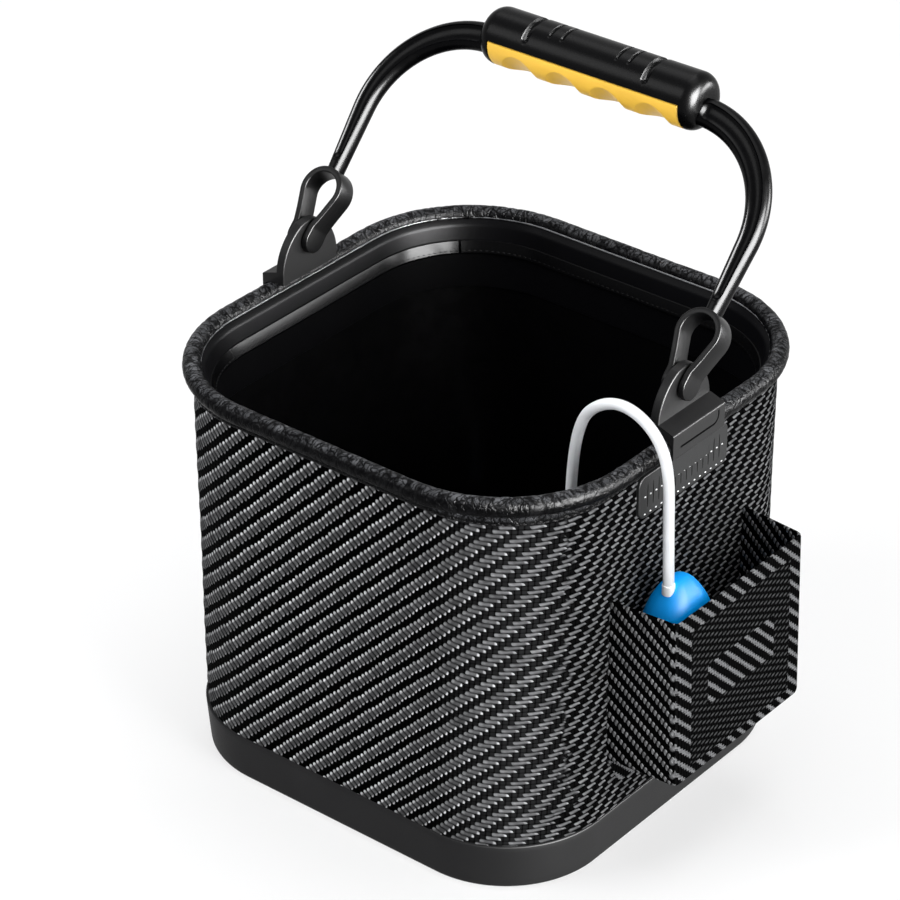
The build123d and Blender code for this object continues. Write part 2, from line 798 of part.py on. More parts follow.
# The crank tips a rocker, whose three stems push the diaphragm's cups in turn.
with BuildPart() as diaphragm_rocker:
    with BuildSketch(pump_level(rocker_low)):
        Circle(rocker_radius)
        Circle(rocker_bore, mode=Mode.SUBTRACT)
    extrude(amount=rocker_thickness)
    with BuildSketch(pump_level(rocker_low + rocker_thickness)):
        with PolarLocations(cup_circle, 3):
            Circle(cup_stem_radius)
    extrude(amount=diaphragm_low - rocker_low - rocker_thickness)
finish(diaphragm_rocker, "diaphragm_rocker")

diaphragm_high = diaphragm_low + diaphragm_thickness
with BuildPart() as diaphragm:
    with BuildSketch(pump_level(diaphragm_low)):
        Circle(head_radius)
    extrude(amount=diaphragm_thickness)
    with BuildSketch(pump_level(diaphragm_high)):
        with PolarLocations(cup_circle, 3):
            Circle(cup_radius)
    extrude(amount=cup_height)
finish(diaphragm, "diaphragm")

valve_high = diaphragm_high + valve_height
with BuildPart() as valve_cap:
    with BuildSketch(pump_level(diaphragm_high)):
        Circle(head_radius)
    extrude(amount=valve_height)
    with BuildSketch(pump_level(diaphragm_high)):
        with PolarLocations(cup_circle, 3):
            Circle(valve_well[0])
    extrude(amount=valve_well[1], mode=Mode.SUBTRACT)
    with BuildSketch(pump_level(valve_high, nipple_shift)):
        Circle(spout_radius)
    extrude(amount=spout_height)
    with BuildSketch(pump_level(diaphragm_high + valve_well[1], nipple_shift)):
        Circle(air_bore)
    extrude(amount=valve_height + spout_height, mode=Mode.SUBTRACT)
finish(valve_cap, "valve_cap")

finish(turned(hose_radius, valve_high, hose_high, bore=hose_bore, shift_y=nipple_shift), "outlet_hose")

with BuildPart() as pump_nipple:
    for radius, low, high in ((spout_radius, stem_low, collar_foot),
                              (collar_radius, collar_foot, nipple_shoulder),
                              (nipple_radius, nipple_shoulder, nipple_shoulder + barb_length)):
        with BuildSketch(pump_level(low, nipple_shift)):
            Circle(radius)
            Circle(air_bore, mode=Mode.SUBTRACT)
        extrude(amount=high - low)
finish(pump_nipple, "pump_nipple")

with BuildPart() as case_seal:
    with BuildSketch(pump_level(case_split)):
        RectangleRounded(pump_width - 2 * seal_inset, pump_length - 2 * seal_inset,
                         pump_corner - seal_inset)
        RectangleRounded(*inner_plan, mode=Mode.SUBTRACT)
    extrude(amount=seal_height)
finish(case_seal, "case_seal")

with BuildPart() as pump_upper_case:
    for height, width, length, corner in dome_levels:
        with BuildSketch(pump_level(height)):
            RectangleRounded(width, length, corner)
    loft()
    fillet(pump_upper_case.edges().group_by(Axis.Z)[-1], dome_top_round)
    foot = dome_levels[0][0]
    for height, width, length, corner in dome_levels:
        drop = case_thickness if height > foot else 0
        with BuildSketch(pump_level(height - drop)):
            RectangleRounded(width - 2 * case_thickness, length - 2 * case_thickness,
                             corner - case_thickness)
    loft(mode=Mode.SUBTRACT)
    with BuildSketch(pump_level(valve_high, nipple_shift)):
        Circle(collar_radius + fit_gap / 2)
    extrude(amount=2 * (collar_foot - valve_high), mode=Mode.SUBTRACT)
finish(pump_upper_case, "pump_upper_case")


# ---- air tube and stone ----
def corner_radii(points):
    """The largest arc that the two runs at each corner of the route allow."""
    radii = []
    for before, here, after in zip(points, points[1:], points[2:]):
        run_in = Vector(*here) - Vector(*before)
        run_out = Vector(*after) - Vector(*here)
        turn = radians(run_in.get_angle(run_out))
        radii.append(0.45 * min(run_in.length, run_out.length) / tan(turn / 2))
    return radii


tube_radii = corner_radii(tube_points)
with BuildPart() as air_tube:
    with BuildLine() as tube_line:
        FilletPolyline(*tube_points, radius=tube_radii)
    with BuildSketch(Plane(origin=tube_points[0], z_dir=tube_line.line % 0)):
        Circle(tube_radius)
        Circle(tube_bore, mode=Mode.SUBTRACT)
    sweep(path=tube_line.line)
finish(air_tube, "air_tube")
tube_length = sum(edge.length for edge in tube_line.line.edges())
tube_section = pi * (tube_radius ** 2 - tube_bore ** 2)
print("tube radii", [round(radius, 1) for radius in tube_radii])
print("tube length", round(tube_length, 1), "volume over section times length",
      round(air_tube.part.volume / (tube_section * tube_length), 4))

tube_end = Vector(*tube_points[-1])
tube_end_way = (tube_end - Vector(*tube_points[-2])).normalized()


def along_tube(distance):
    return Plane(origin=tube_end + tube_end_way * distance, z_dir=tube_end_way)


with BuildPart() as stone_fitting:
    for radius, start, length in ((nipple_radius, -spigot_length, spigot_length),
                                  (fitting_radius, 0, fitting_length)):
        with BuildSketch(along_tube(start)):
            Circle(radius)
            Circle(fitting_bore, mode=Mode.SUBTRACT)
        extrude(amount=length)
finish(stone_fitting, "stone_fitting")

with BuildPart() as air_stone:
    with BuildSketch(along_tube(fitting_length)):
        Circle(stone_radius)
    extrude(amount=stone_length)
    chamfer(air_stone.edges(), stone_chamfer)
    with BuildSketch(along_tube(fitting_length)):
        Circle(stone_bore)
    extrude(amount=stone_bore_length, mode=Mode.SUBTRACT)
finish(air_stone, "air_stone")
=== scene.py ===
import math
from functools import partial

import bpy
import numpy as np
from mathutils import Matrix, Vector


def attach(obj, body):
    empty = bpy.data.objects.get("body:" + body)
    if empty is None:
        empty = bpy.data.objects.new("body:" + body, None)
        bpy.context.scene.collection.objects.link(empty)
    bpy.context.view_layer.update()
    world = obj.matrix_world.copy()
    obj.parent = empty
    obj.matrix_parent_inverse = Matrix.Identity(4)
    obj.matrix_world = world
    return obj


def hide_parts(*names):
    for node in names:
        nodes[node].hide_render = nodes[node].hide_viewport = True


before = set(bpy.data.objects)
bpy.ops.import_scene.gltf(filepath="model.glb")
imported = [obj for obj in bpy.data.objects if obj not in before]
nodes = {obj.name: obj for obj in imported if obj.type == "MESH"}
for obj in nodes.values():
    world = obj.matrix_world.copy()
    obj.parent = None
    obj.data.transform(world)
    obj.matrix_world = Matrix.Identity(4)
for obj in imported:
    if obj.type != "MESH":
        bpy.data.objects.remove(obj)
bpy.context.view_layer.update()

print("frame loaded:", len(nodes), "nodes")

# Sizes are in millimetres, as in the frame. mm turns them to Blender's metres.
mm = 0.001
seed = 20


def hexColour(code):
    # An sRGB hex colour turned to linear with the standard curve
    channels = np.array([int(code[i:i + 2], 16) for i in (0, 2, 4)]) / 255
    linear = np.where(channels <= 0.04045, channels / 12.92, ((channels + 0.055) / 1.055) ** 2.4)
    return (*linear.tolist(), 1.0)


def addNode(tree, kind, settings=None, inputs=None):
    # Adds a shader node. A lone word as its settings is its operation. inputs holds values, sockets or nodes, by
    # socket name or number; a node stands for its first output in use.
    node = tree.nodes.new("ShaderNode" + kind)
    if isinstance(settings, str):
        settings = {"operation": settings}
    for key, value in (settings or {}).items():
        setattr(node, key, value)
    pairs = inputs.items() if isinstance(inputs, dict) else enumerate(inputs or ())
    for key, value in pairs:
        if isinstance(value, bpy.types.Node):
            value = next(socket for socket in value.outputs if socket.enabled)
        if isinstance(value, bpy.types.NodeSocket):
            tree.links.new(value, node.inputs[key])
        elif value is not None:
            node.inputs[key].default_value = value
    return node


smoothly = {"interpolation_type": "SMOOTHSTEP"}
inColour = {"data_type": "RGBA"}
clampedMinus = {"operation": "SUBTRACT", "use_clamp": True}
clampedTimes = {"operation": "MULTIPLY", "use_clamp": True}
noiseReach = (0.3, 0.7)


def newMaterial(name):
    # A material, with addNode bound to its tree
    material = bpy.data.materials.new(name)
    material.use_nodes = True
    material.node_tree.nodes.clear()
    return material, partial(addNode, material.node_tree)


def closeMaterial(add, skin, height, depth):
    # Ends a material: a bump of the given depth in millimetres, the shader with its values, then the output
    bump = add("Bump", None, {"Height": height, "Strength": 1.0, "Distance": depth * mm})
    shader = add("BsdfPrincipled", None, {**skin, "Normal": bump})
    add("OutputMaterial", None, {"Surface": shader})


def addObject(name, data):
    made = bpy.data.objects.new(name, data)
    bpy.context.scene.collection.objects.link(made)
    return made


# The camera's place in millimetres and its angles in degrees
cameraPlan = {
    "position": (955.9, -1195.0, 1093.6), "azimuth": 39.328, "elevation": 31.364, "roll": -0.279, "lens": 146.43,
    "sensor": 36.0,
}


def makeCamera(plan):
    azimuth, elevation, roll = (math.radians(plan[key]) for key in ("azimuth", "elevation", "roll"))
    back = Vector((math.sin(azimuth) * math.cos(elevation), -math.cos(azimuth) * math.cos(elevation),
                   math.sin(elevation)))
    right = (-back).cross(Vector((0, 0, 1))).normalized()
    up = right.cross(-back)
    turnedRight = math.cos(roll) * right + math.sin(roll) * up
    turnedUp = math.cos(roll) * up - math.sin(roll) * right
    camera = addObject("camera", bpy.data.cameras.new("camera"))
    camera.data.lens = plan["lens"]
    camera.data.sensor_width = plan["sensor"]
    camera.data.clip_end = 20
    turn = Matrix((turnedRight, turnedUp, back)).transposed()
    camera.matrix_world = Matrix.Translation(Vector(plan["position"]) * mm) @ turn.to_4x4()
    bpy.context.scene.camera = camera


makeCamera(cameraPlan)
print("camera placed")


def stacked(*parts):
    # Coordinates, each a number or an array, stacked along a last axis
    return np.stack(np.broadcast_arrays(*parts), -1)


def pairGrid(first, second):
    # The two coordinates of a grid, stacked
    return stacked(*np.meshgrid(first, second, indexing="ij"))


def cove(radius, level, count):
    # The quarter circle that rises from a radius inside the line, at the level, to a radius above it
    arc = np.linspace(0, np.pi / 2, count)
    return stacked(radius * (np.sin(arc) - 1), level + radius * (1 - np.cos(arc)))


def circle(count):
    # The outward directions round a circle, in the plane
    turn = np.arange(count) * 2 * np.pi / count
    return stacked(np.cos(turn), np.sin(turn))


def gridMesh(name, points, kind, uv=None, flip=False, sharp=None):
    # A surface over two parameters: points is rows x columns x 3, in millimetres, and each cell is a quad.
    # The last row of a ring or a pan joins its first, as the last column of a ring or a bar does. One face closes
    # each end of a bar and the middle of each side of a pan.
    rows, columns = points.shape[:2]
    wrapRows, wrapColumns = kind in ("ring", "pan"), kind in ("ring", "bar")
    cells = pairGrid(np.arange(rows - (not wrapRows)), np.arange(columns - (not wrapColumns))).reshape(-1, 2, 1)
    down, across = cells[:, 0] + (0, 1, 1, 0), cells[:, 1] + (0, 0, 1, 1)
    if flip:
        down, across = down[:, ::-1], across[:, ::-1]
    grid = np.arange(rows * columns).reshape(rows, columns)
    caps = {"ring": (), "bar": (grid[0], grid[-1, ::-1]), "pan": (grid[::-1, 0], grid[:, -1])}[kind]
    faces = grid[down % rows, across % columns].tolist() + [cap[::-1 if flip else 1].tolist() for cap in caps]
    mesh = bpy.data.meshes.new(name)
    mesh.from_pydata((points.reshape(-1, 3) * mm).tolist(), [], faces)
    if uv is not None:
        layer = mesh.uv_layers.new(name="surface")
        values = np.zeros((len(mesh.loops), 2))
        values[:down.size] = uv[down.ravel(), across.ravel()]
        layer.data.foreach_set("uv", values.ravel())
    mesh.shade_smooth()
    if sharp:
        mesh.set_sharp_from_angle(angle=math.radians(sharp))
    return addObject(name, mesh)


def dress(piece, body, material, slot, *replaced):
    piece.data.materials.append(material)
    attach(piece, body)
    if replaced:
        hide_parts(*replaced)
    return piece


def roundedSquare(plan, count=None, step=None):
    # A square with quarter-circle corners as a function of the distance along it, anticlockwise from the
    # middle of its -Y side: its points, its outward normals, the distances and the girth. It is cut into equal
    # steps, by their count or by about their length.
    half, corner = plan["half"], plan["corner"]
    flat = half - corner
    quarter = 2 * flat + corner * np.pi / 2
    count = count or int(4 * quarter / step)
    along = np.arange(count) * 4 * quarter / count
    turn, rest = np.divmod(along, quarter)
    angle = np.clip((rest - flat) / corner, 0, np.pi / 2)
    x = np.minimum(rest, flat) + corner * np.sin(angle)
    y = -half + corner * (1 - np.cos(angle)) + np.maximum(rest - flat - corner * np.pi / 2, 0)
    heading = turn * np.pi / 2
    c, s = np.cos(heading), np.sin(heading)
    points = stacked(c * x - s * y, s * x + c * y)
    normals = stacked(np.sin(angle + heading), -np.cos(angle + heading))
    return points, normals, along, 4 * quarter


def bentPath(start, heading, runs, step):
    # A flat path as its heading integrated along it. Each run is a length and a turn in degrees.
    lengths = np.array([run[0] for run in runs])
    breaks = np.concatenate([[0], np.cumsum(lengths)])
    headings = np.radians(heading + np.concatenate([[0], np.cumsum([run[1] for run in runs])]))
    along = np.unique(np.concatenate([np.linspace(a, b, max(2, int((b - a) / step) + 1))
                                      for a, b in zip(breaks, breaks[1:])]).round(6))
    angle = np.interp(along, breaks, headings)
    middle = (angle[1:] + angle[:-1]) / 2
    gaps = np.diff(along)
    chord = gaps * np.sinc(np.diff(angle) / 2 / np.pi)
    x = start[0] + np.concatenate([[0], np.cumsum(chord * np.cos(middle))])
    y = start[1] + np.concatenate([[0], np.cumsum(chord * np.sin(middle))])
    return stacked(x, y), stacked(np.sin(angle), -np.cos(angle)), along


def softOutline(corners, segments=5):
    # A closed outline whose corners, each a point and a radius, become arcs between their tangent points
    data = np.array(corners, float)
    points, radius = data[:, :2], np.maximum(data[:, 2:], 0.02)
    before, after = np.roll(points, 1, 0) - points, np.roll(points, -1, 0) - points
    before /= np.linalg.norm(before, axis=1, keepdims=True)
    after /= np.linalg.norm(after, axis=1, keepdims=True)
    half = np.arccos(np.clip((before * after).sum(1, keepdims=True), -1, 1)) / 2
    centre = points + (before + after) / np.linalg.norm(before + after, axis=1, keepdims=True) * radius / np.sin(half)
    first = points + before * radius / np.tan(half) - centre
    last = points + after * radius / np.tan(half) - centre
    sweep = np.pi - 2 * half
    t = np.linspace(0, 1, segments + 1)[None, :, None]
    sweep = sweep[:, None]
    arcs = (np.sin((1 - t) * sweep) * first[:, None] + np.sin(t * sweep) * last[:, None]) / np.sin(sweep)
    return (centre[:, None] + arcs).reshape(-1, 2)


def ringSweep(path, normals, profile, scale=None):
    # A profile of outward offset and height carried along a path in plan; scale shrinks a column to the middle
    scale = np.ones(len(profile)) if scale is None else scale
    plan = (path[:, None] + normals[:, None] * profile[None, :, :1]) * scale[None, :, None]
    height = np.broadcast_to(profile[None, :, 1:], (*plan.shape[:2], 1))
    return np.concatenate([plan, height], -1)


def onCylinder(along, girth, rise, radius=130):
    # Places round a cylinder, folded flat, so that waves over them close round the part
    turn = along[:, None] * 2 * np.pi / girth
    return stacked(radius * np.cos(turn), radius * np.sin(turn) + rise)


def pushOut(points, normals, amount):
    # Moves a swept surface along its path's normals
    points[..., :2] += normals[:, None] * amount[..., None]


def ripple(places, wave, count, source):
    # Smooth random relief: a sum of plane waves of about the given length, with random directions and phases
    heading = source.uniform(0, 2 * np.pi, count)
    length = wave * source.uniform(0.7, 1.4, count)
    phase = source.uniform(0, 2 * np.pi, count)
    waves = np.sin(2 * np.pi * places @ np.stack([np.cos(heading), np.sin(heading)]) / length + phase)
    return waves.sum(-1) / math.sqrt(count)


def beads(name, centres, directions, normals, length, radius, rings=6, sides=6):
    # Many small capsules as one mesh: each a circle carried along its length, narrowing as a half circle at
    # both ends
    t = np.linspace(-1, 1, rings)
    narrow = np.sqrt(np.clip(1 - np.abs(t) ** 4, 0, 1)).clip(0.12)
    angle = np.arange(sides) * 2 * np.pi / sides
    side = np.cross(directions, normals)
    ring = np.cos(angle)[:, None] * normals[:, None, None] + np.sin(angle)[:, None] * side[:, None, None]
    points = (centres[:, None, None] + directions[:, None, None] * (t * length / 2)[:, None, None]
              + ring * (narrow * radius)[:, None, None])
    count = len(centres)
    i, j = pairGrid(np.arange(rings - 1), np.arange(sides)).reshape(-1, 2).T
    following = (j + 1) % sides
    quads = stacked(i * sides + j, i * sides + following, (i + 1) * sides + following, (i + 1) * sides + j)
    first = np.arange(count)[:, None, None] * rings * sides
    faces = (quads[None] + first).reshape(-1, 4).tolist()
    ends = np.stack([np.arange(sides)[::-1], (rings - 1) * sides + np.arange(sides)])
    faces += (ends[None] + first).reshape(-1, sides).tolist()
    mesh = bpy.data.meshes.new(name)
    mesh.from_pydata((points.reshape(-1, 3) * mm).tolist(), [], faces)
    mesh.shade_smooth()
    return addObject(name, mesh)


# The air tube. The points are its control points, in metres.
tubePlan = {
    "points": [
        (0.1345, -0.0326, 0.1531), (0.1339, -0.0331, 0.1840), (0.1330, -0.0328, 0.2145),
        (0.1275, -0.0329, 0.2295), (0.1168, -0.0328, 0.2385), (0.1040, -0.0326, 0.2410),
        (0.0919, -0.0329, 0.2361), (0.0826, -0.0330, 0.2257), (0.0776, -0.0327, 0.2022),
        (0.0756, -0.0318, 0.1660), (0.0736, -0.0304, 0.1220), (0.0704, -0.0280, 0.0780),
        (0.0644, -0.0244, 0.0420), (0.0540, -0.0195, 0.0195), (0.0360, -0.0145, 0.0096),
        (0.0100, -0.0149, 0.0091), (-0.0150, -0.0080, 0.0092), (-0.0340, 0.0080, 0.0132),
        (-0.0450, 0.0260, 0.0134)],
    "diameter": 0.0054, "length": 0.456, "lipReach": 2.65, "lipRadius": 0.5, "lipRise": 0.5,
    "walls": ("E2E5E9", "F2F4F6"), "cloudMm": 9,
}


def siliconeTube(plan):
    # Extruded translucent silicone: milky, softly lit from within, with a smooth satin skin
    material, add = newMaterial("extrudedSilicone")
    place = add("TexCoord").outputs["Object"]
    noise = add("TexNoise", None, {"Vector": place, "Scale": 1 / (plan["cloudMm"] * mm), "Detail": 3.0})
    tone = add("ValToRGB", None, [noise])
    for element, colour in zip(tone.color_ramp.elements, plan["walls"]):
        element.color = hexColour(colour)
    closeMaterial(add, {
        "Base Color": tone, "Roughness": 0.28, "IOR": 1.41, "Subsurface Weight": 0.35,
        "Subsurface Radius": (1.0, 1.0, 1.0), "Subsurface Scale": 1.2 * mm}, noise, 0.03)
    return material


def makeTube(plan, material):
    curve = bpy.data.curves.new("airTube", "CURVE")
    curve.dimensions = "3D"
    spline = curve.splines.new("NURBS")
    spline.points.add(len(plan["points"]) - 1)
    for point, place in zip(spline.points, plan["points"]):
        point.co = (*place, 1)
    spline.order_u = 3
    spline.use_endpoint_u = True
    spline.resolution_u = 12
    curve.bevel_depth = plan["diameter"] / 2
    curve.bevel_resolution = 6
    curve.use_fill_caps = True
    return dress(addObject("airTube", curve), "bucket", material, "tube_silicone", "air_tube")


def makeTubeLip(plan):
    # The tube's end is turned back on itself over the pump's nozzle: a ring of round section about its axis
    x, y, z = (value / mm for value in plan["points"][0])
    outward = circle(40)
    profile = (0, z + plan["lipRise"]) + plan["lipRadius"] * circle(12)
    return gridMesh("tubeLip", ringSweep((x, y) + plan["lipReach"] * outward, outward, profile), "ring")


silicone = siliconeTube(tubePlan)
airTube = makeTube(tubePlan, silicone)
tubeLip = dress(makeTubeLip(tubePlan), "bucket", silicone, "tube_silicone")
print("air tube made")

# Carbon-look twill on EVA sheet. The two broad sides have a five-thread twill whose strands lean like a rope's,
# and the pocket's side and the one opposite have a four-thread twill with short floats.
wallWeave = {
    "rowsRound": 14, "repeatsRound": 69,
    "broad": {"repeat": 5, "columnRise": -0.0117, "rowRise": 0.4278},
    # left and right are the painted highlights on a float's two ends
    "short": {"repeat": 4, "column": (0.396, 0.005), "row": (0.004, 0.386), "float": 1.9, "lean": -0.16,
              "width": 0.98, "warp": 0.006, "left": 0.08, "right": 0.20, "body": 0.40},
    # by place round the wall from the middle of the -Y side: the lean, the float in threads, the strand's width,
    # how bright the warp is, the painted highlights on the float's two ends, and how bright its body is
    "places": (
        (-105, 0.43, 3.4, 1.04, 0.008, 0.26, 0.08, 0.15),
        (-45, 0.41, 3.35, 1.04, 0.001, 0.85, 0.26, 0.14),
        (28, 0.39, 3.3, 1.03, 0.001, 0.74, 0.50, 0.13),
        (62, 0.27, 3.2, 1.06, 0.002, 0.26, 1.00, 0.12),
        (84, 0.02, 2.9, 1.10, 0.014, 0.16, 0.95, 0.22),
        (99, -0.12, 2.4, 1.08, 0.030, 0.12, 0.65, 0.40),
        (113, -0.16, 2.2, 1.02, 0.012, 0.08, 0.34, 0.36)),
    "placeShift": 15, "wander": 0.4, "wanderScale": 0.07, "ragged": 0.5, "cornerStretch": 0.28, "bandShift": 0.2,
    "shortShift": 0.09, "shortRamp": (0.0, -0.06), "shortRidges": (-0.2, 0.16), "dark": "010101",
    "bright": "E6E7EA", "relief": 0.5,
}
# How every strand is drawn. Pairs of numbers are a factor and an addend, or the two ends of a ramp.
# The two end ramps place painted highlights on a strand's ends, and the flank pair paints shade across it.
strandPlan = {
    "unevenLength": (0.22, 0.89), "turnDown": (0.45, 1.0, 0.0, 0.3), "endPower": (-5.2, 4.4),
    "sidePower": (-5.4, 4.0), "coverRamp": (1.08, 0.72), "leftHighlightRamp": (-0.25, -0.7), "rightHighlightRamp": (0.55, 0.8),
    "groundPowers": (4.0, 6.0), "paintedFlank": (-0.9, 0.8), "filament": (0.4, 2.8, 1.0), "specks": (0.65, 1.2),
    "patch": 0.14, "patches": (0.72, 1.2), "chances": (0.7, 1.2), "groundRise": 0.2, "rough": (0.7, 0.4),
}
wallPlan = {
    "half": 116.6, "corner": 57.0, "thickness": 3.1, "low": 25.8, "high": 213.6, "step": 2.1, "bulge": 0.35,
    "bulgeMm": 95, "edgeFade": 6, "bandRelief": 0.16,
}
twillKeys = ("column", "row", "repeat", "float", "lean", "width")


def strandNodes(add, surface, column, row, repeat, floatLength, lean, width):
    # A twill as a function of the surface's millimetres. The warp and weft counts grow along `column` and `row`.
    # Columns less rows, modulo the repeat, is the place across a band; rows plus lean times that place is the
    # strand's number. Lean 0 gives level floats with stepped ends, and a half gives strands square to the band.
    # Along and across a strand both run from -1 to 1, and it covers where their powers add up to under 1.
    plan = strandPlan
    columnCount, rowCount = (
        add("VectorMath", "DOT_PRODUCT", [surface, (*way, 0)]) for way in (column, row))
    apart = add("Math", "SUBTRACT", [columnCount, rowCount])
    shift = add("Math", "MULTIPLY_ADD", [floatLength, -0.5, 0.5 + repeat / 2])
    lifted = add("Math", "ADD", [apart, shift])
    wrapped = add("Math", "FLOORED_MODULO", [lifted, float(repeat)])
    place = add("Math", "SUBTRACT", [wrapped, repeat / 2])
    strand = add("Math", "MULTIPLY_ADD", [lean, place, rowCount])
    level = add("Math", "SUBTRACT", [add("Math", "FRACT", [strand]), 0.5])
    stairs = add("Math", "MULTIPLY_ADD", [lean, -2.0, 1.0])
    stepped = add("Math", "MULTIPLY_ADD", [level, stairs, place])
    band = add("Math", "FLOOR", [add("Math", "DIVIDE", [lifted, float(repeat)])])
    number = add("CombineXYZ", None, [add("Math", "FLOOR", [strand]), band])
    chance = add("TexWhiteNoise", {"noise_dimensions": "2D"}, {"Vector": number})
    # no two strands are quite as long, and each turns down at its right end
    uneven = add("Math", "MULTIPLY_ADD", [chance, *plan["unevenLength"]])
    halves = add("Math", "DIVIDE", [stepped, add("Math", "MULTIPLY", [floatLength, 0.5])])
    along = add("Math", "MULTIPLY", [halves, uneven])
    bent = add("Math", "ADD", [level, add("MapRange", None, [along, *plan["turnDown"]])])
    across = add("Math", "DIVIDE", [bent, add("Math", "MULTIPLY", [width, 0.5])])
    # the more a strand leans, the more its ends are pointed
    sides, ends = (
        add("Math", "POWER", [add("Math", "ABSOLUTE", [reach]), add("Math", "MULTIPLY_ADD", [lean, *plan[key]])])
        for reach, key in ((across, "sidePower"), (along, "endPower")))
    cover = add("MapRange", smoothly, [add("Math", "ADD", [sides, ends]), *plan["coverRamp"], 0.0, 1.0])
    ridge = add("Math", clampedMinus, [1.0, add("Math", "MULTIPLY", [across, across])])
    crown = add("Math", clampedMinus, [ridge, ends])
    # painted highlights: ramps along the float that light its left and right ends
    left = add("MapRange", smoothly, [along, *plan["leftHighlightRamp"], 0.0, 1.0])
    right = add("MapRange", smoothly, [along, *plan["rightHighlightRamp"], 0.0, 1.0])
    # a warp thread is 1 less powers of the places across it and along it, each from -1 to 1 between crossings
    warp = 1.0
    for count, power in zip((columnCount, rowCount), plan["groundPowers"]):
        centred = add("Math", "MULTIPLY_ADD", [add("Math", "FRACT", [count]), 2.0, -1.0])
        away = add("Math", "POWER", [add("Math", "ABSOLUTE", [centred]), power])
        warp = add("Math", clampedMinus, [warp, away])
    # painted shade across the strand: darker towards its sides, and the more it leans, the lighter its left flank is
    # painted
    paintedFlankLight = add("Math", "MULTIPLY", [lean, plan["paintedFlank"][0]])
    lit = add("Math", clampedTimes, [ridge, add("Math", "MULTIPLY_ADD", [across, paintedFlankLight, plan["paintedFlank"][1]])])
    return {"cover": cover, "crown": crown, "left": left, "right": right, "warp": warp, "lit": lit,
            "chance": chance}


def strandColour(add, parts, shine, surface, plan):
    # Colours a twill by brightness: the ground's warp threads, then the floats with painted highlights on their two
    # ends and painted shade across them. Each float is a little lighter or darker than the next and has fine
    # lengthwise filaments. Gives the colour and the height.
    light = shine["body"]
    for end in ("left", "right"):
        light = add("Math", "MULTIPLY_ADD", [parts[end], shine[end], light])
    light = add("Math", "MULTIPLY", [light, parts["lit"]])
    filament = add("Mapping", None, {"Vector": surface, "Scale": strandPlan["filament"]})
    fine = add("TexNoise", None, {"Vector": filament, "Scale": 1.0, "Detail": 2.0})
    broad = add("TexNoise", None, {"Vector": surface, "Scale": strandPlan["patch"], "Detail": 3.0})
    uneven = 1.0
    for value, reach, key in ((fine, noiseReach, "specks"), (broad, noiseReach, "patches"),
                              (parts["chance"], (0.0, 1.0), "chances")):
        uneven = add("Math", "MULTIPLY", [uneven, add("MapRange", None, [value, *reach, *strandPlan[key]])])
    bright = add("Math", clampedTimes, [light, uneven])
    ground = add("Math", "MULTIPLY", [parts["warp"], shine["warp"]])
    share = add("Mix", None, {0: parts["cover"], 2: ground, 3: bright})
    colour = add("Mix", inColour, {0: share, 6: hexColour(plan["dark"]), 7: hexColour(plan["bright"])})
    height = add("Math", "MULTIPLY_ADD", [parts["warp"], strandPlan["groundRise"], parts["crown"]])
    return colour, height


def closeWeave(add, colour, height, relief):
    # Coated yarn: satin on the crowns of the floats and matt between them
    rough = add("MapRange", None, [height, 0.0, 1.0, *strandPlan["rough"]])
    closeMaterial(add, {"Base Color": colour, "Roughness": rough, "IOR": 1.5, "Specular IOR Level": 0.0},
                  height, relief)


def wallMaterial(plan, girth):
    material, add = newMaterial("wovenEvaSheet")
    flatPlace = add("UVMap", {"uv_map": "surface"})
    # the threads wander a little, as woven ones do
    drift = add("TexNoise", None, {"Vector": flatPlace, "Scale": plan["wanderScale"], "Detail": 2.0})
    wander = plan["wander"]
    wandering = add("VectorMath", "MULTIPLY_ADD", [
        drift.outputs["Color"], (2 * wander, 2 * wander, 0.0), (-wander, -wander, 0.0)])
    surface = add("VectorMath", "ADD", [flatPlace, wandering])
    sideways = add("SeparateXYZ", None, [flatPlace]).outputs[0]
    # the place round the wall as half of one plus a sine, which both ramps read: one holds the shape of the
    # strands and one their brightness, with the painted highlights on their ends
    turn = add("Math", "MULTIPLY_ADD", [
        sideways, 2 * math.pi / girth, 2 * math.pi * plan["placeShift"] / girth])
    wave = add("Math", "MULTIPLY_ADD", [add("Math", "SINE", [turn]), 0.5, 0.5])
    broad = plan["broad"]
    ramps = [add("ValToRGB", None, [wave]) for _ in range(2)]
    for k, (place, lean, threads, width, warp, left, right, body) in enumerate(plan["places"]):
        position = 0.5 + 0.5 * math.sin(2 * math.pi * (place + plan["placeShift"]) / girth)
        for ramp, values in zip(ramps, ((lean + 0.5, threads / broad["repeat"], width, 1), (left, right, body, warp))):
            elements = ramp.color_ramp.elements
            element = elements[k] if k < 2 else elements.new(position)
            element.position = position
            element.color = values
    shape, shine = (add("SeparateColor", None, [ramp]).outputs for ramp in ramps)
    lean = add("Math", "SUBTRACT", [shape[0], 0.5])
    threads = add("Math", "MULTIPLY", [shape[1], float(broad["repeat"])])
    columns = broad["repeat"] * plan["repeatsRound"] + plan["rowsRound"]
    parts = strandNodes(add, surface, (columns / girth, broad["columnRise"]),
                        (plan["rowsRound"] / girth, broad["rowRise"]), broad["repeat"], threads, lean, shape[2])
    broadColour, broadHeight = strandColour(add, parts, {
        "left": shine[0], "right": shine[1], "body": shine[2], "warp": ramps[1].outputs[1]}, surface, plan)
    short = plan["short"]
    parts = strandNodes(add, surface, *(short[key] for key in twillKeys))
    shortColour, shortHeight = strandColour(add, parts, short, surface, plan)
    # the four-thread twill takes over past each corner
    sides = add("Math", "COSINE", [add("Math", "MULTIPLY", [sideways, 4 * math.pi / girth])])
    ragged = add("Math", "MULTIPLY_ADD", [drift, plan["ragged"], sides])
    which = add("MapRange", smoothly, [ragged, *plan["shortRamp"], 0.0, 1.0])
    colour = add("Mix", inColour, {0: which, 6: broadColour, 7: shortColour})
    height = add("Mix", None, {0: which, 2: broadHeight, 3: shortHeight})
    closeWeave(add, colour, height, plan["relief"])
    return material


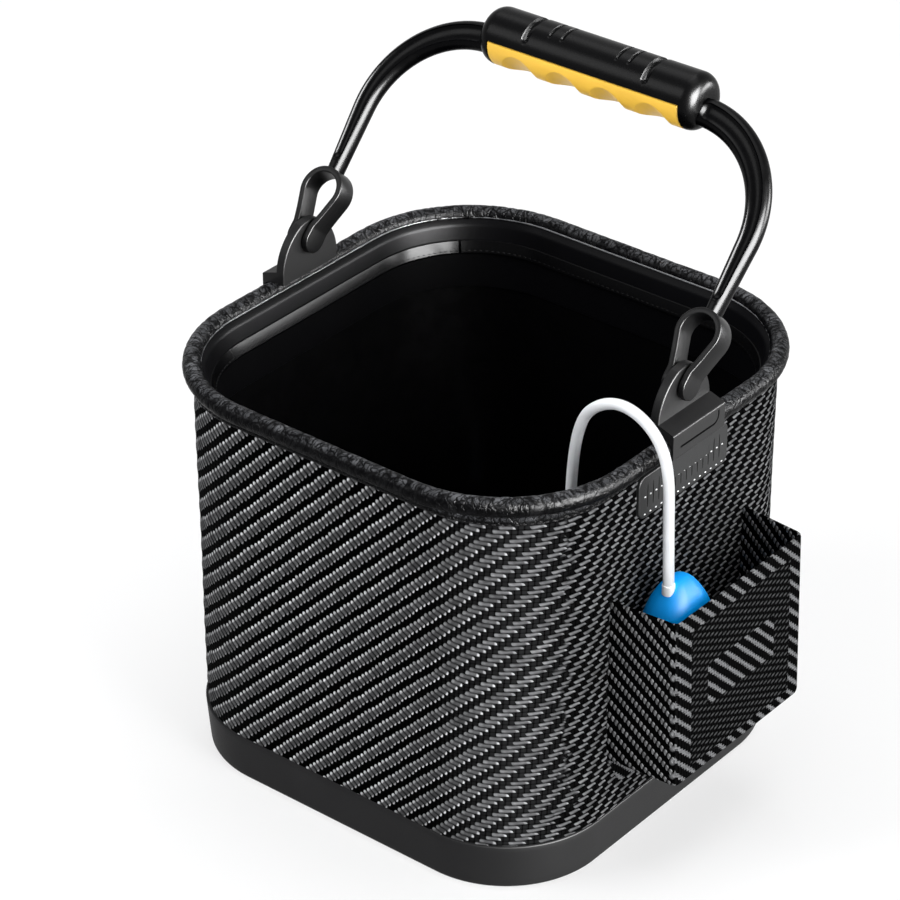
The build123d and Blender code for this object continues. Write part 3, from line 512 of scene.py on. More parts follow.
def makeWall(plan, weave):
    # The wall is a ring whose outside carries a slow bulge and the low ridges of the twill's bands.
    # A band is a cosine of (columns less rows) over the repeat. Round each corner the weave is a little
    # stretched: the surface's own measure grows slower there, by a sixth power of a raised cosine.
    path, normals, along, girth = roundedSquare(plan, step=plan["step"])
    rise = np.linspace(plan["low"], plan["high"], int((plan["high"] - plan["low"]) / plan["step"]))
    inner = np.array([(-plan["thickness"], plan["high"]), (-plan["thickness"], plan["low"])])
    profile = np.concatenate([stacked(0, rise), inner])
    points = ringSweep(path, normals, profile)
    middle = (along + girth / len(along) / 2) * 8 * np.pi / girth
    growth = (1 - weave["cornerStretch"] * (0.5 - 0.5 * np.cos(middle)) ** 6) * girth / len(along)
    clothAlong = np.concatenate([[0], np.cumsum(growth)])
    clothGirth = clothAlong[-1]
    u, v = np.moveaxis(pairGrid(clothAlong[:-1], rise), -1, 0)
    broad, short = weave["broad"], weave["short"]
    bands = weave["repeatsRound"] / clothGirth * u + (broad["columnRise"] - broad["rowRise"]) / broad["repeat"] * v
    way = np.subtract(short["column"], short["row"]) / short["repeat"]
    shortBands = way[0] * u + way[1] * v
    source = np.random.default_rng(seed)
    edge = np.clip(np.minimum(v - plan["low"], plan["high"] - v) / plan["edgeFade"], 0, 1)
    slow = ripple(onCylinder(along, girth, rise), plan["bulgeMm"], 7, source)
    start, fade = weave["shortRidges"]
    onShort = np.clip((start - np.cos(4 * np.pi * u / clothGirth)) / fade, 0, 1)
    ridges = ((1 - onShort) * np.cos(2 * np.pi * (bands - weave["bandShift"]))
              + onShort * np.cos(2 * np.pi * (shortBands - weave["shortShift"])))
    pushOut(points[:, :len(rise)], normals, edge * (plan["bandRelief"] * ridges + plan["bulge"] * slow))
    uv = pairGrid(clothAlong, np.append(profile[:, 1], profile[0, 1]))
    wall = gridMesh("wovenWall", points, "ring", uv, sharp=40)
    return wall, clothGirth


wovenWall, wallGirth = makeWall(wallPlan, wallWeave)
dress(wovenWall, "bucket", wallMaterial(wallWeave, wallGirth), "woven_eva", "wall_shell")
print("wall woven")

# The side pocket and the flap below it, then the jacquard's weave with its brightness by kind of thread
pocketPlan = {
    "root": (116.3, -54.0), "front": 153.5, "frontHalf": 51.0, "corner": 4.0, "low": 55.5, "high": 148.5,
    "thickness": 1.8, "foot": 5.0, "lean": 2.5, "bulge": 0.4, "flap": ((53.0, 56.5), (44.6, 40.0)),
    "flapFace": 116.65, "flapThickness": 1.1,
}
pocketWeave = {
    "stripes": (0.1221, 0.1270), "stripeRamp": (0.2, 0.7, 0.0, 0.9), "nodules": (0.508, 0.606), "noduleReach": 0.26,
    # left and right are the painted highlights on a rope strand's two ends
    "gusset": {"column": (0.695, -0.1925), "row": (0.165, 0.4525), "repeat": 5, "float": 2.4, "lean": 0.40,
               "width": 0.96, "warp": 0.002, "left": 0.30, "right": 0.18, "body": 0.27},
    "knotWidth": 3.2, "knotPitch": 7.9, "knotOut": 1.2, "dashOne": (0.176, -0.278), "dashTwo": (0.122, 0.264),
    "dashHalf": (1.9, 0.72), "dashTilt": 14.0, "border": (11.0, 9.0), "blockHalf": 27.0, "blockLow": 92.0,
    "blockHigh": 115.0, "stripeLight": 0.30, "dashLight": 0.12, "knotLight": 0.18, "warpLight": 0.006,
    "grainScale": 0.9, "grainLight": (0.55, 1.4), "dark": "010101", "bright": "E6E7EA", "relief": 0.4,
}


def pocketMaterial(plan, pocket):
    # A jacquard sheet: stripes in a border and a middle block, fine dashes between, and ropes on the gussets
    material, add = newMaterial("jacquardEvaSheet")
    surface = add("UVMap", {"uv_map": "surface"})
    sideways, upwards = add("SeparateXYZ", None, [surface]).outputs[:2]
    away = add("Math", "ABSOLUTE", [sideways])
    # stripes: a cosine across them, its edge moved in and out by the nodules of each thread
    whole = 2 * math.pi
    bead = add("VectorMath", "MULTIPLY", [surface, (whole * plan["nodules"][0], whole * plan["nodules"][1], 0.0)])
    lobes = add("VectorMath", "DOT_PRODUCT", [add("VectorMath", "SINE", [bead]), (*[plan["noduleReach"]] * 2, 0.0)])
    count = add("VectorMath", "DOT_PRODUCT", [surface, (*(whole * share for share in plan["stripes"]), 0.0)])
    stripes = add("Math", "COSINE", [count])
    lumpy = add("Math", "ADD", [stripes, lobes])
    stripe = add("MapRange", smoothly, [lumpy, *plan["stripeRamp"]])
    # the gussets carry ropes, mirrored about the front, and the sheet's edges a row of knots
    mirrored = add("CombineXYZ", None, [away, upwards])
    ropes = plan["gusset"]
    rope = strandNodes(add, mirrored, *(ropes[key] for key in twillKeys))
    ropeColour, ropeHeight = strandColour(add, rope, ropes, surface, plan)
    knotWave = add("Math", "COSINE", [add("Math", "MULTIPLY", [upwards, whole / plan["knotPitch"]])])
    knotFrom = add("Math", "SUBTRACT", [away, pocket["frontHalf"] + plan["knotOut"]])
    knotAway = add("Math", "DIVIDE", [knotFrom, plan["knotWidth"] / 2])
    knot = add("Math", clampedMinus, [knotWave, add("Math", "MULTIPLY", [knotAway, knotAway])])
    thread = add("Math", "FRACT", [add("Math", "MULTIPLY", [sideways, plan["nodules"][0]])])
    centred = add("Math", "MULTIPLY_ADD", [thread, 2.0, -1.0])
    warp = add("Math", clampedMinus, [1.0, add("Math", "MULTIPLY", [centred, centred])])
    # dashes: the nearest site of a slanted lattice, then an ellipse about it
    ways = np.array([plan["dashOne"], plan["dashTwo"]])
    tilt = math.radians(plan["dashTilt"])
    turn = np.array([[math.cos(tilt), math.sin(tilt)], [-math.sin(tilt), math.cos(tilt)]])
    local = (turn @ np.linalg.inv(ways)) / np.array(plan["dashHalf"])[:, None]
    counts = [add("VectorMath", "DOT_PRODUCT", [surface, (*way, 0.0)]) for way in ways.tolist()]
    cell = add("CombineXYZ", None, [
        add("Math", "SUBTRACT", [add("Math", "FRACT", [count]), 0.5]) for count in counts])
    reach = add("CombineXYZ", None, [
        add("VectorMath", "DOT_PRODUCT", [cell, (*line, 0.0)]) for line in local.tolist()])
    dash = add("Math", clampedMinus, [1.0, add("VectorMath", "DOT_PRODUCT", [reach, reach])])
    # zones by the distance along the sheet from the middle of the front, and by height
    middle, halfRise = (pocket["low"] + pocket["high"]) / 2, (pocket["high"] - pocket["low"]) / 2
    offMiddle = add("Math", "ABSOLUTE", [add("Math", "SUBTRACT", [upwards, middle])])
    zones = []
    for limits in (((away, "LESS_THAN", pocket["frontHalf"] - plan["border"][0]),
                    (offMiddle, "LESS_THAN", halfRise - plan["border"][1])),
                   ((away, "LESS_THAN", plan["blockHalf"]), (upwards, "GREATER_THAN", plan["blockLow"]),
                    (upwards, "LESS_THAN", plan["blockHigh"]))):
        zone = 1.0
        for value, test, limit in limits:
            zone = add("Math", "MULTIPLY", [zone, add("Math", test, [value, limit])])
        zones.append(zone)
    fine = add("Math", clampedMinus, zones)
    gusset = add("Math", "GREATER_THAN", [away, pocket["frontHalf"]])
    # brightness: stripes and dashes by zone over the warp's, then the knots
    weft = add("Mix", None, {0: fine, 2: stripe, 3: dash})
    light = add("Mix", None, {0: fine, 2: plan["stripeLight"], 3: plan["dashLight"]})
    grain = add("TexNoise", None, {"Vector": surface, "Scale": plan["grainScale"], "Detail": 3.0})
    lit = add("Math", "MULTIPLY", [light, add("MapRange", None, [grain, *noiseReach, *plan["grainLight"]])])
    share = add("Mix", None, {0: weft, 2: add("Math", "MULTIPLY", [warp, plan["warpLight"]]), 3: lit})
    dark, bright = hexColour(plan["dark"]), hexColour(plan["bright"])
    front = add("Mix", inColour, {0: share, 6: dark, 7: bright})
    colour = add("Mix", inColour, {0: gusset, 6: front, 7: ropeColour})
    height = add("Mix", None, {0: gusset, 2: weft, 3: ropeHeight})
    knotted = add("Mix", inColour, {0: add("Math", "MULTIPLY", [knot, plan["knotLight"]]), 6: colour, 7: bright})
    closeWeave(add, knotted, add("Math", "MAXIMUM", [height, knot]), plan["relief"])
    return material


def makePocket(plan):
    # The sheet's closed profile, with a rounded foot and a thin rounded top, is carried along the U of the
    # two gussets and the front. The floor is a plate across it.
    reach = np.array([plan["front"], -plan["frontHalf"]]) - np.array(plan["root"])
    heading = math.degrees(math.atan2(reach[1], reach[0]))
    bend = 90 - heading
    cut = plan["corner"] * math.tan(math.radians(bend) / 2)
    side = float(np.linalg.norm(reach)) - cut
    arc = plan["corner"] * math.radians(bend)
    runs = [(side, 0), (arc, bend), (2 * (plan["frontHalf"] - cut), 0), (arc, bend), (side, 0)]
    path, normals, along = bentPath(plan["root"], heading, runs, 1.5)
    t, foot, low, high = plan["thickness"], plan["foot"], plan["low"], plan["high"]
    rise = np.linspace(low + foot, high - t / 2, 48)
    top = (-t / 2, high - t / 2) + t / 2 * circle(12)[1:6]
    inside = stacked(-t, np.linspace(high - t / 2, low + foot, 20))
    profile = np.concatenate([cove(foot, low, 5)[:-1], stacked(0, rise), top, inside, [(-foot, low + t)]])
    points = ringSweep(path, normals, profile)
    middle = along[-1] / 2
    across = np.clip(1 - np.abs(along - middle) / plan["frontHalf"], 0, 1)
    upright = np.clip((profile[:, 1] - low) / (high - low), 0, 1)
    pushOut(points, normals, plan["bulge"] * np.sin(across * np.pi / 2)[:, None] * np.sin(upright * np.pi))
    uv = pairGrid(along - middle, np.append(profile[:, 1], profile[0, 1]))
    leanOut = plan["lean"] / (plan["front"] - plan["root"][0]) / (high - low)
    points[..., 0] += (points[..., 0] - plan["root"][0]) * leanOut * (high - points[..., 2])
    pocket = gridMesh("wovenPocket", points, "bar", uv, sharp=50)
    base = path - normals * (foot - 0.4)
    centre = base.mean(0)
    levels = np.array([(0.02, low), (1, low), (1, low + t), (0.02, low + t)])
    spread = centre + (base - centre)[:, None] * levels[:, :1]
    plate = stacked(spread[..., 0], spread[..., 1], levels[:, 1])
    plate[..., 0] += (plate[..., 0] - plan["root"][0]) * leanOut * (high - low)
    floor = gridMesh("pocketFloor", plate, "pan", plate[np.r_[0:len(base), 0]][..., 1::-1], sharp=40)
    # the flap below is a flat sheet on the wall, narrowing downwards: its outside, then its back
    (topY, topZ), (lowY, lowZ) = plan["flap"]
    level = np.linspace(0, 1, 9)[:, None]
    across = np.linspace(-1, 1, 41)
    loop = np.concatenate([across, across[::-1]])
    depth = plan["flapThickness"] * np.concatenate([1 - 0.3 * np.abs(across) ** 30, 0 * across])
    sheet = stacked(plan["flapFace"] + depth, (lowY + (topY - lowY) * level) * loop, lowZ + (topZ - lowZ) * level)
    flapUv = np.concatenate([sheet, sheet[:, :1]], 1)[..., 1:]
    flap = gridMesh("pocketFlap", sheet, "bar", flapUv, flip=True, sharp=40)
    return pocket, floor, flap


sidePocket, pocketFloor, pocketFlap = makePocket(pocketPlan)
jacquard = pocketMaterial(pocketWeave, pocketPlan)
dress(sidePocket, "bucket", jacquard, "woven_eva", "side_pocket")
for piece in (pocketFloor, pocketFlap):
    dress(piece, "bucket", jacquard, "woven_eva")
print("pocket made")

# The rim's piping, and the binding tape with its stitches
rimPlan = {
    "half": 120.3, "corner": 68.2, "height": 216.9, "radius": 4.7, "step": 1.3, "sides": 26, "creases": 120,
    "creaseDepth": 0.28, "knobRise": 0.07, "knobMm": 7, "tapeLow": 206.8, "tapeHigh": 213.9, "tapeOut": 1.3,
    "tapeSwell": 0.12, "tapeSwellMm": 16, "stitchPitch": 3.4, "stitchLength": 2.3, "stitchRadius": 0.33,
}


# Both hides' pattern. Cells are shares of a crack's length, turned and stretched; pairs are ramps' ends or a
# factor and an addend.
hidePlan = {
    "bend": (0.6, 1.8), "cells": ((1.0, 0.6, 0.45), (0.42, -0.5, 0.6)), "crack": (0.0, 0.14), "second": 0.4,
    "gritScale": 1.6, "gritShare": 0.1, "patchScale": 0.11, "palePatch": (0.48, 0.62), "palePatchShare": (0.45, 0.55),
    # crown is the ramp of the painted sheen along the crown of a roll
    "crown": (0.45, 1.0, 0.05, 1.0), "rough": (0.3, 0.45),
}


def grainedHide(name, ground, paleSheenColour, crackMm, relief, crown):
    # Coated leathercloth: a glossy black skin crossed by fine sharp cracks, with paler, duller patches between
    material, add = newMaterial(name)
    surface = add("UVMap", {"uv_map": "surface"})
    plan = hidePlan
    bends, swing = plan["bend"][0] / crackMm, plan["bend"][1] * crackMm
    bend = add("TexNoise", None, {"Vector": surface, "Scale": bends, "Detail": 3.0}).outputs["Color"]
    shifted = add("VectorMath", "MULTIPLY_ADD", [bend, (swing, swing, 0.0), surface])
    cracks = []
    for size, turn, stretch in plan["cells"]:
        laid = add("Mapping", None, {"Vector": shifted, "Rotation": (0.0, 0.0, turn), "Scale": (1.0, stretch, 1.0)})
        cells = add("TexVoronoi", {"feature": "DISTANCE_TO_EDGE"}, {
            "Vector": laid, "Scale": 1 / (crackMm * size), "Randomness": 1.0})
        cracks.append(add("MapRange", smoothly, [cells, *plan["crack"], 0.0, 1.0]))
    grit = add("TexNoise", None, {"Vector": surface, "Scale": plan["gritScale"], "Detail": 4.0, "Roughness": 0.65})
    patch = add("TexNoise", None, {"Vector": surface, "Scale": plan["patchScale"], "Detail": 3.0})
    palePatch = add("MapRange", smoothly, [patch, *plan["palePatch"], 0.0, 1.0])
    # painted sheen: the crown of the roll is painted paler than its sides, by a cosine of the place round it
    place = add("SeparateXYZ", None, [surface]).outputs[1]
    paintedCrownSheen = add("Math", "COSINE", [add("Math", "MULTIPLY_ADD", [place, 1 / crown, -math.pi])])
    shade = add("Math", "MULTIPLY", cracks)
    for share in (add("Math", "MULTIPLY_ADD", [palePatch, *plan["palePatchShare"]]),
                  add("MapRange", smoothly, [paintedCrownSheen, *plan["crown"]])):
        shade = add("Math", "MULTIPLY", [shade, share])
    # the pale colour shows in the patches and as the painted sheen on the crown
    colour = add("Mix", inColour, {0: shade, 6: hexColour(ground), 7: hexColour(paleSheenColour)})
    part = add("Math", "MULTIPLY_ADD", [cracks[1], plan["second"], cracks[0]])
    height = add("Math", "MULTIPLY_ADD", [grit, plan["gritShare"], part])
    rough = add("MapRange", None, [palePatch, 0.0, 1.0, *plan["rough"]])
    closeMaterial(add, {"Base Color": colour, "Roughness": rough, "IOR": 1.5, "Specular IOR Level": 0.024},
                  height, relief)
    return material


def makePiping(plan):
    # A tube along the rim, narrowed by creases: thin dips across it at random places and slants
    path, normals, along, girth = roundedSquare(plan, step=plan["step"])
    angle = np.arange(plan["sides"]) * 2 * np.pi / plan["sides"]
    source = np.random.default_rng(seed + 1)
    u, v = np.moveaxis(pairGrid(along, angle), -1, 0)
    places, lean, width, reach, swing = (source.uniform(low, high, plan["creases"]) for low, high in (
        (0, girth), (-2.2, 2.2), (0.5, 1.1), (0.3, 1.0), (0, 2 * np.pi)))
    places = np.sort(places)
    gap = (u[..., None] - places - lean * np.sin(v[..., None] + swing) + girth / 2) % girth - girth / 2
    dips = (reach * np.exp(-(gap / width) ** 2)).max(-1)
    knobs = ripple(stacked(u, v * 3), plan["knobMm"], 9, source)
    radius = plan["radius"] - plan["creaseDepth"] * dips + plan["knobRise"] * knobs
    plane = path[:, None] + normals[:, None] * (radius * np.sin(angle))[..., None]
    points = np.concatenate([plane, (plan["height"] - radius * np.cos(angle))[..., None]], -1)
    uv = pairGrid(np.append(along, girth), np.append(angle, 2 * np.pi) * plan["radius"])
    return gridMesh("rimPiping", points, "ring", uv)


def makeTape(plan, wall):
    # A rounded strip's outline carried round the wall; the swell grows from its back to its face
    path, normals, along, girth = roundedSquare(wall, 420)
    low, high, out = plan["tapeLow"], plan["tapeHigh"], plan["tapeOut"]
    profile = softOutline([(0.1, low, 0.3), (out, low, 0.6), (out + 0.1, high - 3, 3), (out + 1.1, high, 0.5),
                           (0.1, high, 0.3)], 4)
    points = ringSweep(path, normals, profile)
    source = np.random.default_rng(seed + 2)
    swell = plan["tapeSwell"] * ripple(pairGrid(along, profile[:, 1]), plan["tapeSwellMm"], 7, source)
    pushOut(points, normals, swell * np.clip(profile[:, 0] / out, 0, 1))
    distance = np.concatenate([[0], np.cumsum(np.linalg.norm(np.diff(profile, axis=0), axis=1))])
    distance = np.append(distance, distance[-1] + 1)
    return gridMesh("bindingTape", points, "ring", pairGrid(np.append(along, girth), distance))


def rowOfStitches(name, ring, out, height, plan):
    # Capsules laid along a rounded square, set out from it at one height
    path, normals, *_ = roundedSquare(ring, step=plan["stitchPitch"])
    x, y = normals.T
    places = path + normals * out
    return beads(name, stacked(*places.T, height), stacked(-y, x, 0), stacked(x, y, 0), plan["stitchLength"],
                 plan["stitchRadius"])


pipingHide = grainedHide("creasedLeathercloth", "020203", "5A5B5E", 4.4, 0.18, rimPlan["radius"])
tapeHide = grainedHide("grainedTape", "060607", "5A5B5E", 3.0, 0.2, 1.6)
dress(makePiping(rimPlan), "bucket", pipingHide, "grained_piping", "rim_piping")
dress(makeTape(rimPlan, wallPlan), "bucket", tapeHide, "grained_piping", "binding_tape")
print("rim made")


def plainMoulding(name, colour, rough, specular, grainMm, grainDepth, mottle=0.12, coat=0.0, metal=0.0):
    # Moulded or turned goods: an even colour, mottled a little, with the fine grain that the tool leaves
    material, add = newMaterial(name)
    patchMm, uneven = 28, 0.12
    place = add("TexCoord").outputs["Object"]
    broad = add("TexNoise", None, {"Vector": place, "Scale": 1 / (patchMm * mm), "Detail": 4.0})
    grain = add("TexNoise", None, {"Vector": place, "Scale": 1 / (grainMm * mm), "Detail": 3.0, "Roughness": 0.6})
    base = np.array(hexColour(colour)[:3])
    darker, lighter = ((*(base * share).tolist(), 1) for share in (1 - mottle, 1 + mottle))
    tint = add("Mix", inColour, {0: add("MapRange", None, [broad, *noiseReach, 0.0, 1.0]), 6: darker, 7: lighter})
    satin = add("MapRange", None, [grain, *noiseReach, rough * (1 - uneven), min(rough * (1 + uneven), 1)])
    closeMaterial(add, {"Base Color": tint, "Roughness": satin, "Specular IOR Level": specular, "Coat Weight": coat,
                        "Coat Roughness": 0.06, "Metallic": metal}, grain, grainDepth)
    return material


tapeStitches = rowOfStitches("tapeStitches", wallPlan, rimPlan["tapeOut"] + 0.05, rimPlan["tapeLow"] + 1.0, rimPlan)
dress(tapeStitches, "bucket", plainMoulding("darkThread", "1A1A1B", 0.7, 0.03, 0.4, 0.08), "grained_piping")

# The collar in the mouth, with the ridge band on it
collarPlan = {
    "half": 111.2, "corner": 58.0, "low": 179.0, "flare": 213.8, "flareOut": 1.9, "lip": 217.2, "lipOut": 4.7,
    "back": 1.1, "beadRadius": 0.42, "ridge": 2.7, "ridgeLow": 199.5, "ridgeHigh": 206.4, "ridgeWave": 0.06,
    "ridgeWaveMm": 60, "cutAt": 5 / 8, "stitchHeight": 201.4, "stitchPitch": 3.1, "stitchLength": 1.9,
    "stitchRadius": 0.3,
}


def makeCollar(plan):
    # Rings with rounded edges: the collar, which flares to its lip, the ridge band on it, and a pale bead on the lip,
    # a painted highlight along the lip's edge. The band is cut through at the middle of the far left corner.
    path, normals, along, _ = roundedSquare(plan, 560)
    back, low, high, flare, flareOut, lip, lipOut, depth, foot = (plan[key] for key in (
        "back", "low", "ridgeHigh", "flare", "flareOut", "lip", "lipOut", "ridge", "ridgeLow"))
    outline = softOutline([
        (back, low, 0.4), (back, high, 1.0), (flareOut + 0.3, flare - 0.9, 1.0), (lipOut + 0.2, lip - 1.0, 0.3),
        (lipOut, lip, 0.3), (flareOut, flare, 5.0), (0, high, 5.0), (0, low, 0.5)], 6)
    collar = gridMesh("mouthCollar", ringSweep(path, normals, outline), "ring", sharp=60)
    ridge = softOutline([(0.3, foot, 0.1), (0.3, high, 0.1), (-0.4, high + 0.1, 0.6), (-depth, foot + 0.9, 0.6),
                         (-depth + 0.3, foot, 0.3)], 6)
    source = np.random.default_rng(seed + 3)
    cutPath, cutNormals, cutAlong = (
        np.roll(values, -round(plan["cutAt"] * len(path)), 0) for values in (path, normals, along))
    points = ringSweep(cutPath, cutNormals, ridge)
    swell = ripple(pairGrid(cutAlong, ridge[:, 1]), plan["ridgeWaveMm"], 5, source)
    pushOut(points, cutNormals, plan["ridgeWave"] * swell)
    band = gridMesh("collarRidge", points, "bar", sharp=60)
    section = (lipOut - 0.3, lip) + plan["beadRadius"] * circle(12)
    bead = gridMesh("lipHighlightBead", ringSweep(path, normals, section), "ring")
    return collar, band, bead


collarAbs = plainMoulding("mouldedAbsSatin", "08080A", 0.34, 0.02, 0.6, 0.02)
ridgeAbs = plainMoulding("polishedAbsBand", "060607", 0.22, 0.025, 1.2, 0.01)
mouthCollar, collarRidge, lipHighlightBead = makeCollar(collarPlan)
dress(mouthCollar, "bucket", collarAbs, "collar_black", "rim_collar")
dress(collarRidge, "bucket", ridgeAbs, "collar_black")
# the bead's pale colour is a painted highlight along the lip
dress(lipHighlightBead, "bucket", plainMoulding("paintedLipHighlight", "6A6B6E", 0.3, 0.2, 0.6, 0.01), "collar_black")
ridgeStitches = rowOfStitches("ridgeStitches", collarPlan, -collarPlan["ridge"] + 0.45, collarPlan["stitchHeight"],
                              collarPlan)
dress(ridgeStitches, "bucket", plainMoulding("blackThread", "060607", 0.7, 0.02, 0.4, 0.05), "collar_black")
print("collar made")

# The base tray and the liner, whose offsets are taken outward from the half width
trayPlan = {"half": 115.6, "corner": 55.0, "height": 25.8, "flare": 1.8, "edge": 2.5, "inner": -2.0, "floor": 2.2}
linerPlan = {"half": 112.4, "corner": 52.8, "floor": 6.2, "under": 5.25, "high": 206.0, "outside": 0.95, "cove": 4.0,
             "coveSteps": 7, "wave": 0.35, "waveMm": 70}


def makeTray(plan):
    # From the middle of the underside out to the edge, up the flared side, over the top and back inside
    path, normals, *_ = roundedSquare(plan, 400)
    edge, flare, height, inner, floor = (plan[key] for key in ("edge", "flare", "height", "inner", "floor"))
    side = np.linspace((0.2, edge + 2), (flare, height - 0.8), 8)
    top = [(flare - 0.1, height - 0.3), (flare - 0.5, height), (inner, height), (inner, floor + 1), (inner - 1, floor)]
    profile = np.concatenate([[(-edge, 0)] * 2, cove(edge, 0, 6), side, top, [(-3, floor)]])
    scale = np.ones(len(profile))
    scale[[0, 1, -1]] = 0.03, 0.6, 0.03
    return gridMesh("baseTray", ringSweep(path, normals, profile, scale), "pan", sharp=45)


def makeLiner(plan):
    # A film pan: floor, coved corner and wall, doubled back outside; its wall waves a little between top and foot
    path, normals, along, girth = roundedSquare(plan, 420)
    foot = plan["floor"] + plan["cove"]
    rise = np.linspace(foot + 4, plan["high"], 40)
    back = np.array([(plan["outside"], plan["high"]), (plan["outside"], plan["under"]), (-6.0, plan["under"])])
    profile = np.concatenate([[(-6.0, plan["floor"])] * 2, cove(plan["cove"], plan["floor"], plan["coveSteps"]),
                              stacked(0, rise), back, [(-6.0, plan["under"])]])
    scale = np.ones(len(profile))
    scale[[0, 1, -1]] = 0.03, 0.5, 0.03
    points = ringSweep(path, normals, profile, scale)
    source = np.random.default_rng(seed + 4)
    fade = np.sin(np.clip((rise - foot) / (plan["high"] - 60), 0, 1) * np.pi)
    waves = ripple(onCylinder(along, girth, 0.6 * rise), plan["waveMm"], 8, source)
    wall = points[:, 2 + plan["coveSteps"]:][:, :len(rise)]
    pushOut(wall, normals, np.minimum(-plan["wave"] * (1 + waves) * fade, 0))
    return gridMesh("linerFilm", points, "pan", flip=True, sharp=50)


trayPlastic = plainMoulding("mouldedPpSatin", "1A1A1B", 0.5, 0.05, 0.5, 0.03)
linerFilm = plainMoulding("calenderedPvcFilm", "050506", 0.22, 0.1, 9.0, 0.14)
dress(makeTray(trayPlan), "bucket", trayPlastic, "base_black", "base_tray")
dress(makeLiner(linerPlan), "bucket", linerFilm, "liner_film", "inner_liner")
print("tray and liner made")

# The bail's arms. Its rises are taken from the pivot's axis, in its own plane.
bailPlan = {
    "pivot": 241.0, "tilt": 42.2, "gripRise": 127.3,
    # each contour: half width at its foot, half width and rise at its corner, and the bend there
    "foot": 34.0, "outside": (118.8, 125.9, 130.8, 57.5), "inside": (111.2, 109.5, 116.2, 47.0), "end": 63.0,
    "depth": 10.5, "fullness": 2.1, "channelShare": 0.60, "channelDepth": 2.0, "channelStart": 7.0,
    "channelEnd": 3.0, "channelFade": 4.0, "channelNarrow": 0.35,
}
tilt = math.radians(bailPlan["tilt"])
bailUp = np.array([0, math.sin(tilt), math.cos(tilt)])
bailOut = np.array([0, -math.cos(tilt), math.sin(tilt)])
bailRight = np.array([1.0, 0, 0])
bailPivot = np.array([0, 0, bailPlan["pivot"]])


def inBail(x, rise, out):
    # From the bail's own plane, which leans back through the pivot axis, to the frame
    return bailPivot + x[..., None] * bailRight + rise[..., None] * bailUp + out[..., None] * bailOut


def contour(plan, which, steps):
    # A leg, a bend and a straight run of one arm; step 0 to 1 goes along the leg, to 2 round the bend and to 3
    # along the straight
    footHalf, cornerHalf, rise, bend = plan[which]
    lean = math.atan2(cornerHalf - footHalf, rise - plan["foot"])
    turn = math.pi / 2 + lean
    tangent = bend * math.tan(turn / 2)
    runs = [(math.hypot(cornerHalf - footHalf, rise - plan["foot"]) - tangent, 0), (bend * turn, math.degrees(turn)),
            (cornerHalf - tangent - plan["end"], 0)]
    path, _, along = bentPath((footHalf, plan["foot"]), 90 - math.degrees(lean), runs, 0.5)
    at = np.interp(steps, np.arange(4), np.concatenate([[0], np.cumsum([run[0] for run in runs])]))
    return np.stack([np.interp(at, along, path[:, k]) for k in (0, 1)], -1), at


def makeBow(plan, side, word):
    # One arm between its outside and inside contours. Its section is a superellipse, |x|^n + |out|^n = 1, and
    # where |x| is under the channel's share, the face sinks below the channel's two lips as half an ellipse.
    # The channel narrows and comes up at both ends as a quarter circle.
    steps = np.concatenate([np.linspace(0, 1, 44)[:-1], np.linspace(1, 2, 90)[:-1], np.linspace(2, 3, 3)])
    outer, along = contour(plan, "outside", steps)
    inner, _ = contour(plan, "inside", steps)
    fade = np.minimum(along - plan["channelStart"], along[-1] - plan["channelEnd"] - along)
    fade = np.sqrt(1 - (1 - np.clip(fade / plan["channelFade"], 0, 1)) ** 2)[:, None]
    n, deep = plan["fullness"], plan["depth"] / 2
    narrow = plan["channelNarrow"]
    share = plan["channelShare"] * (narrow + (1 - narrow) * fade)
    inside = np.concatenate([[-0.97], np.linspace(-0.88, 0.88, 15), [0.97]])
    beyond = np.array([0.0, 0.06, 0.16, 0.3, 0.46, 0.64, 0.82, 1.0])
    brink = np.arcsin(share ** (n / 2))
    right = brink + (np.pi / 2 - brink) * beyond
    back = np.linspace(np.pi / 2, 3 * np.pi / 2, 19)[1:-1] + 0 * fade
    angle = np.concatenate([right, back, 2 * np.pi - right[:, ::-1]], 1)
    x = np.sign(np.sin(angle)) * np.abs(np.sin(angle)) ** (2 / n)
    out = np.sign(np.cos(angle)) * np.abs(np.cos(angle)) ** (2 / n)
    lipOut = (1 - share ** n) ** (1 / n)
    sink = lipOut - plan["channelDepth"] / deep * fade * np.sqrt(1 - inside ** 2)
    x = np.concatenate([share * inside, x], 1)
    out = np.concatenate([sink, out], 1)
    plane = (outer + inner)[:, None] / 2 + (outer - inner)[:, None] / 2 * x[..., None]
    points = inBail(side * plane[..., 0], plane[..., 1], deep * out)
    return gridMesh(f"bow{word}", points, "bar", flip=side > 0, sharp=70)


clevisPlan = {
    "middle": 114.7, "loopRise": 24.1, "loop": 10.4, "leg": 5.0, "foot": 7.1, "heel": 5.0, "strap": 3.0,
    "topHalf": 6.2, "edge": 0.55, "knee": 4.0, "narrowRise": 12,
}


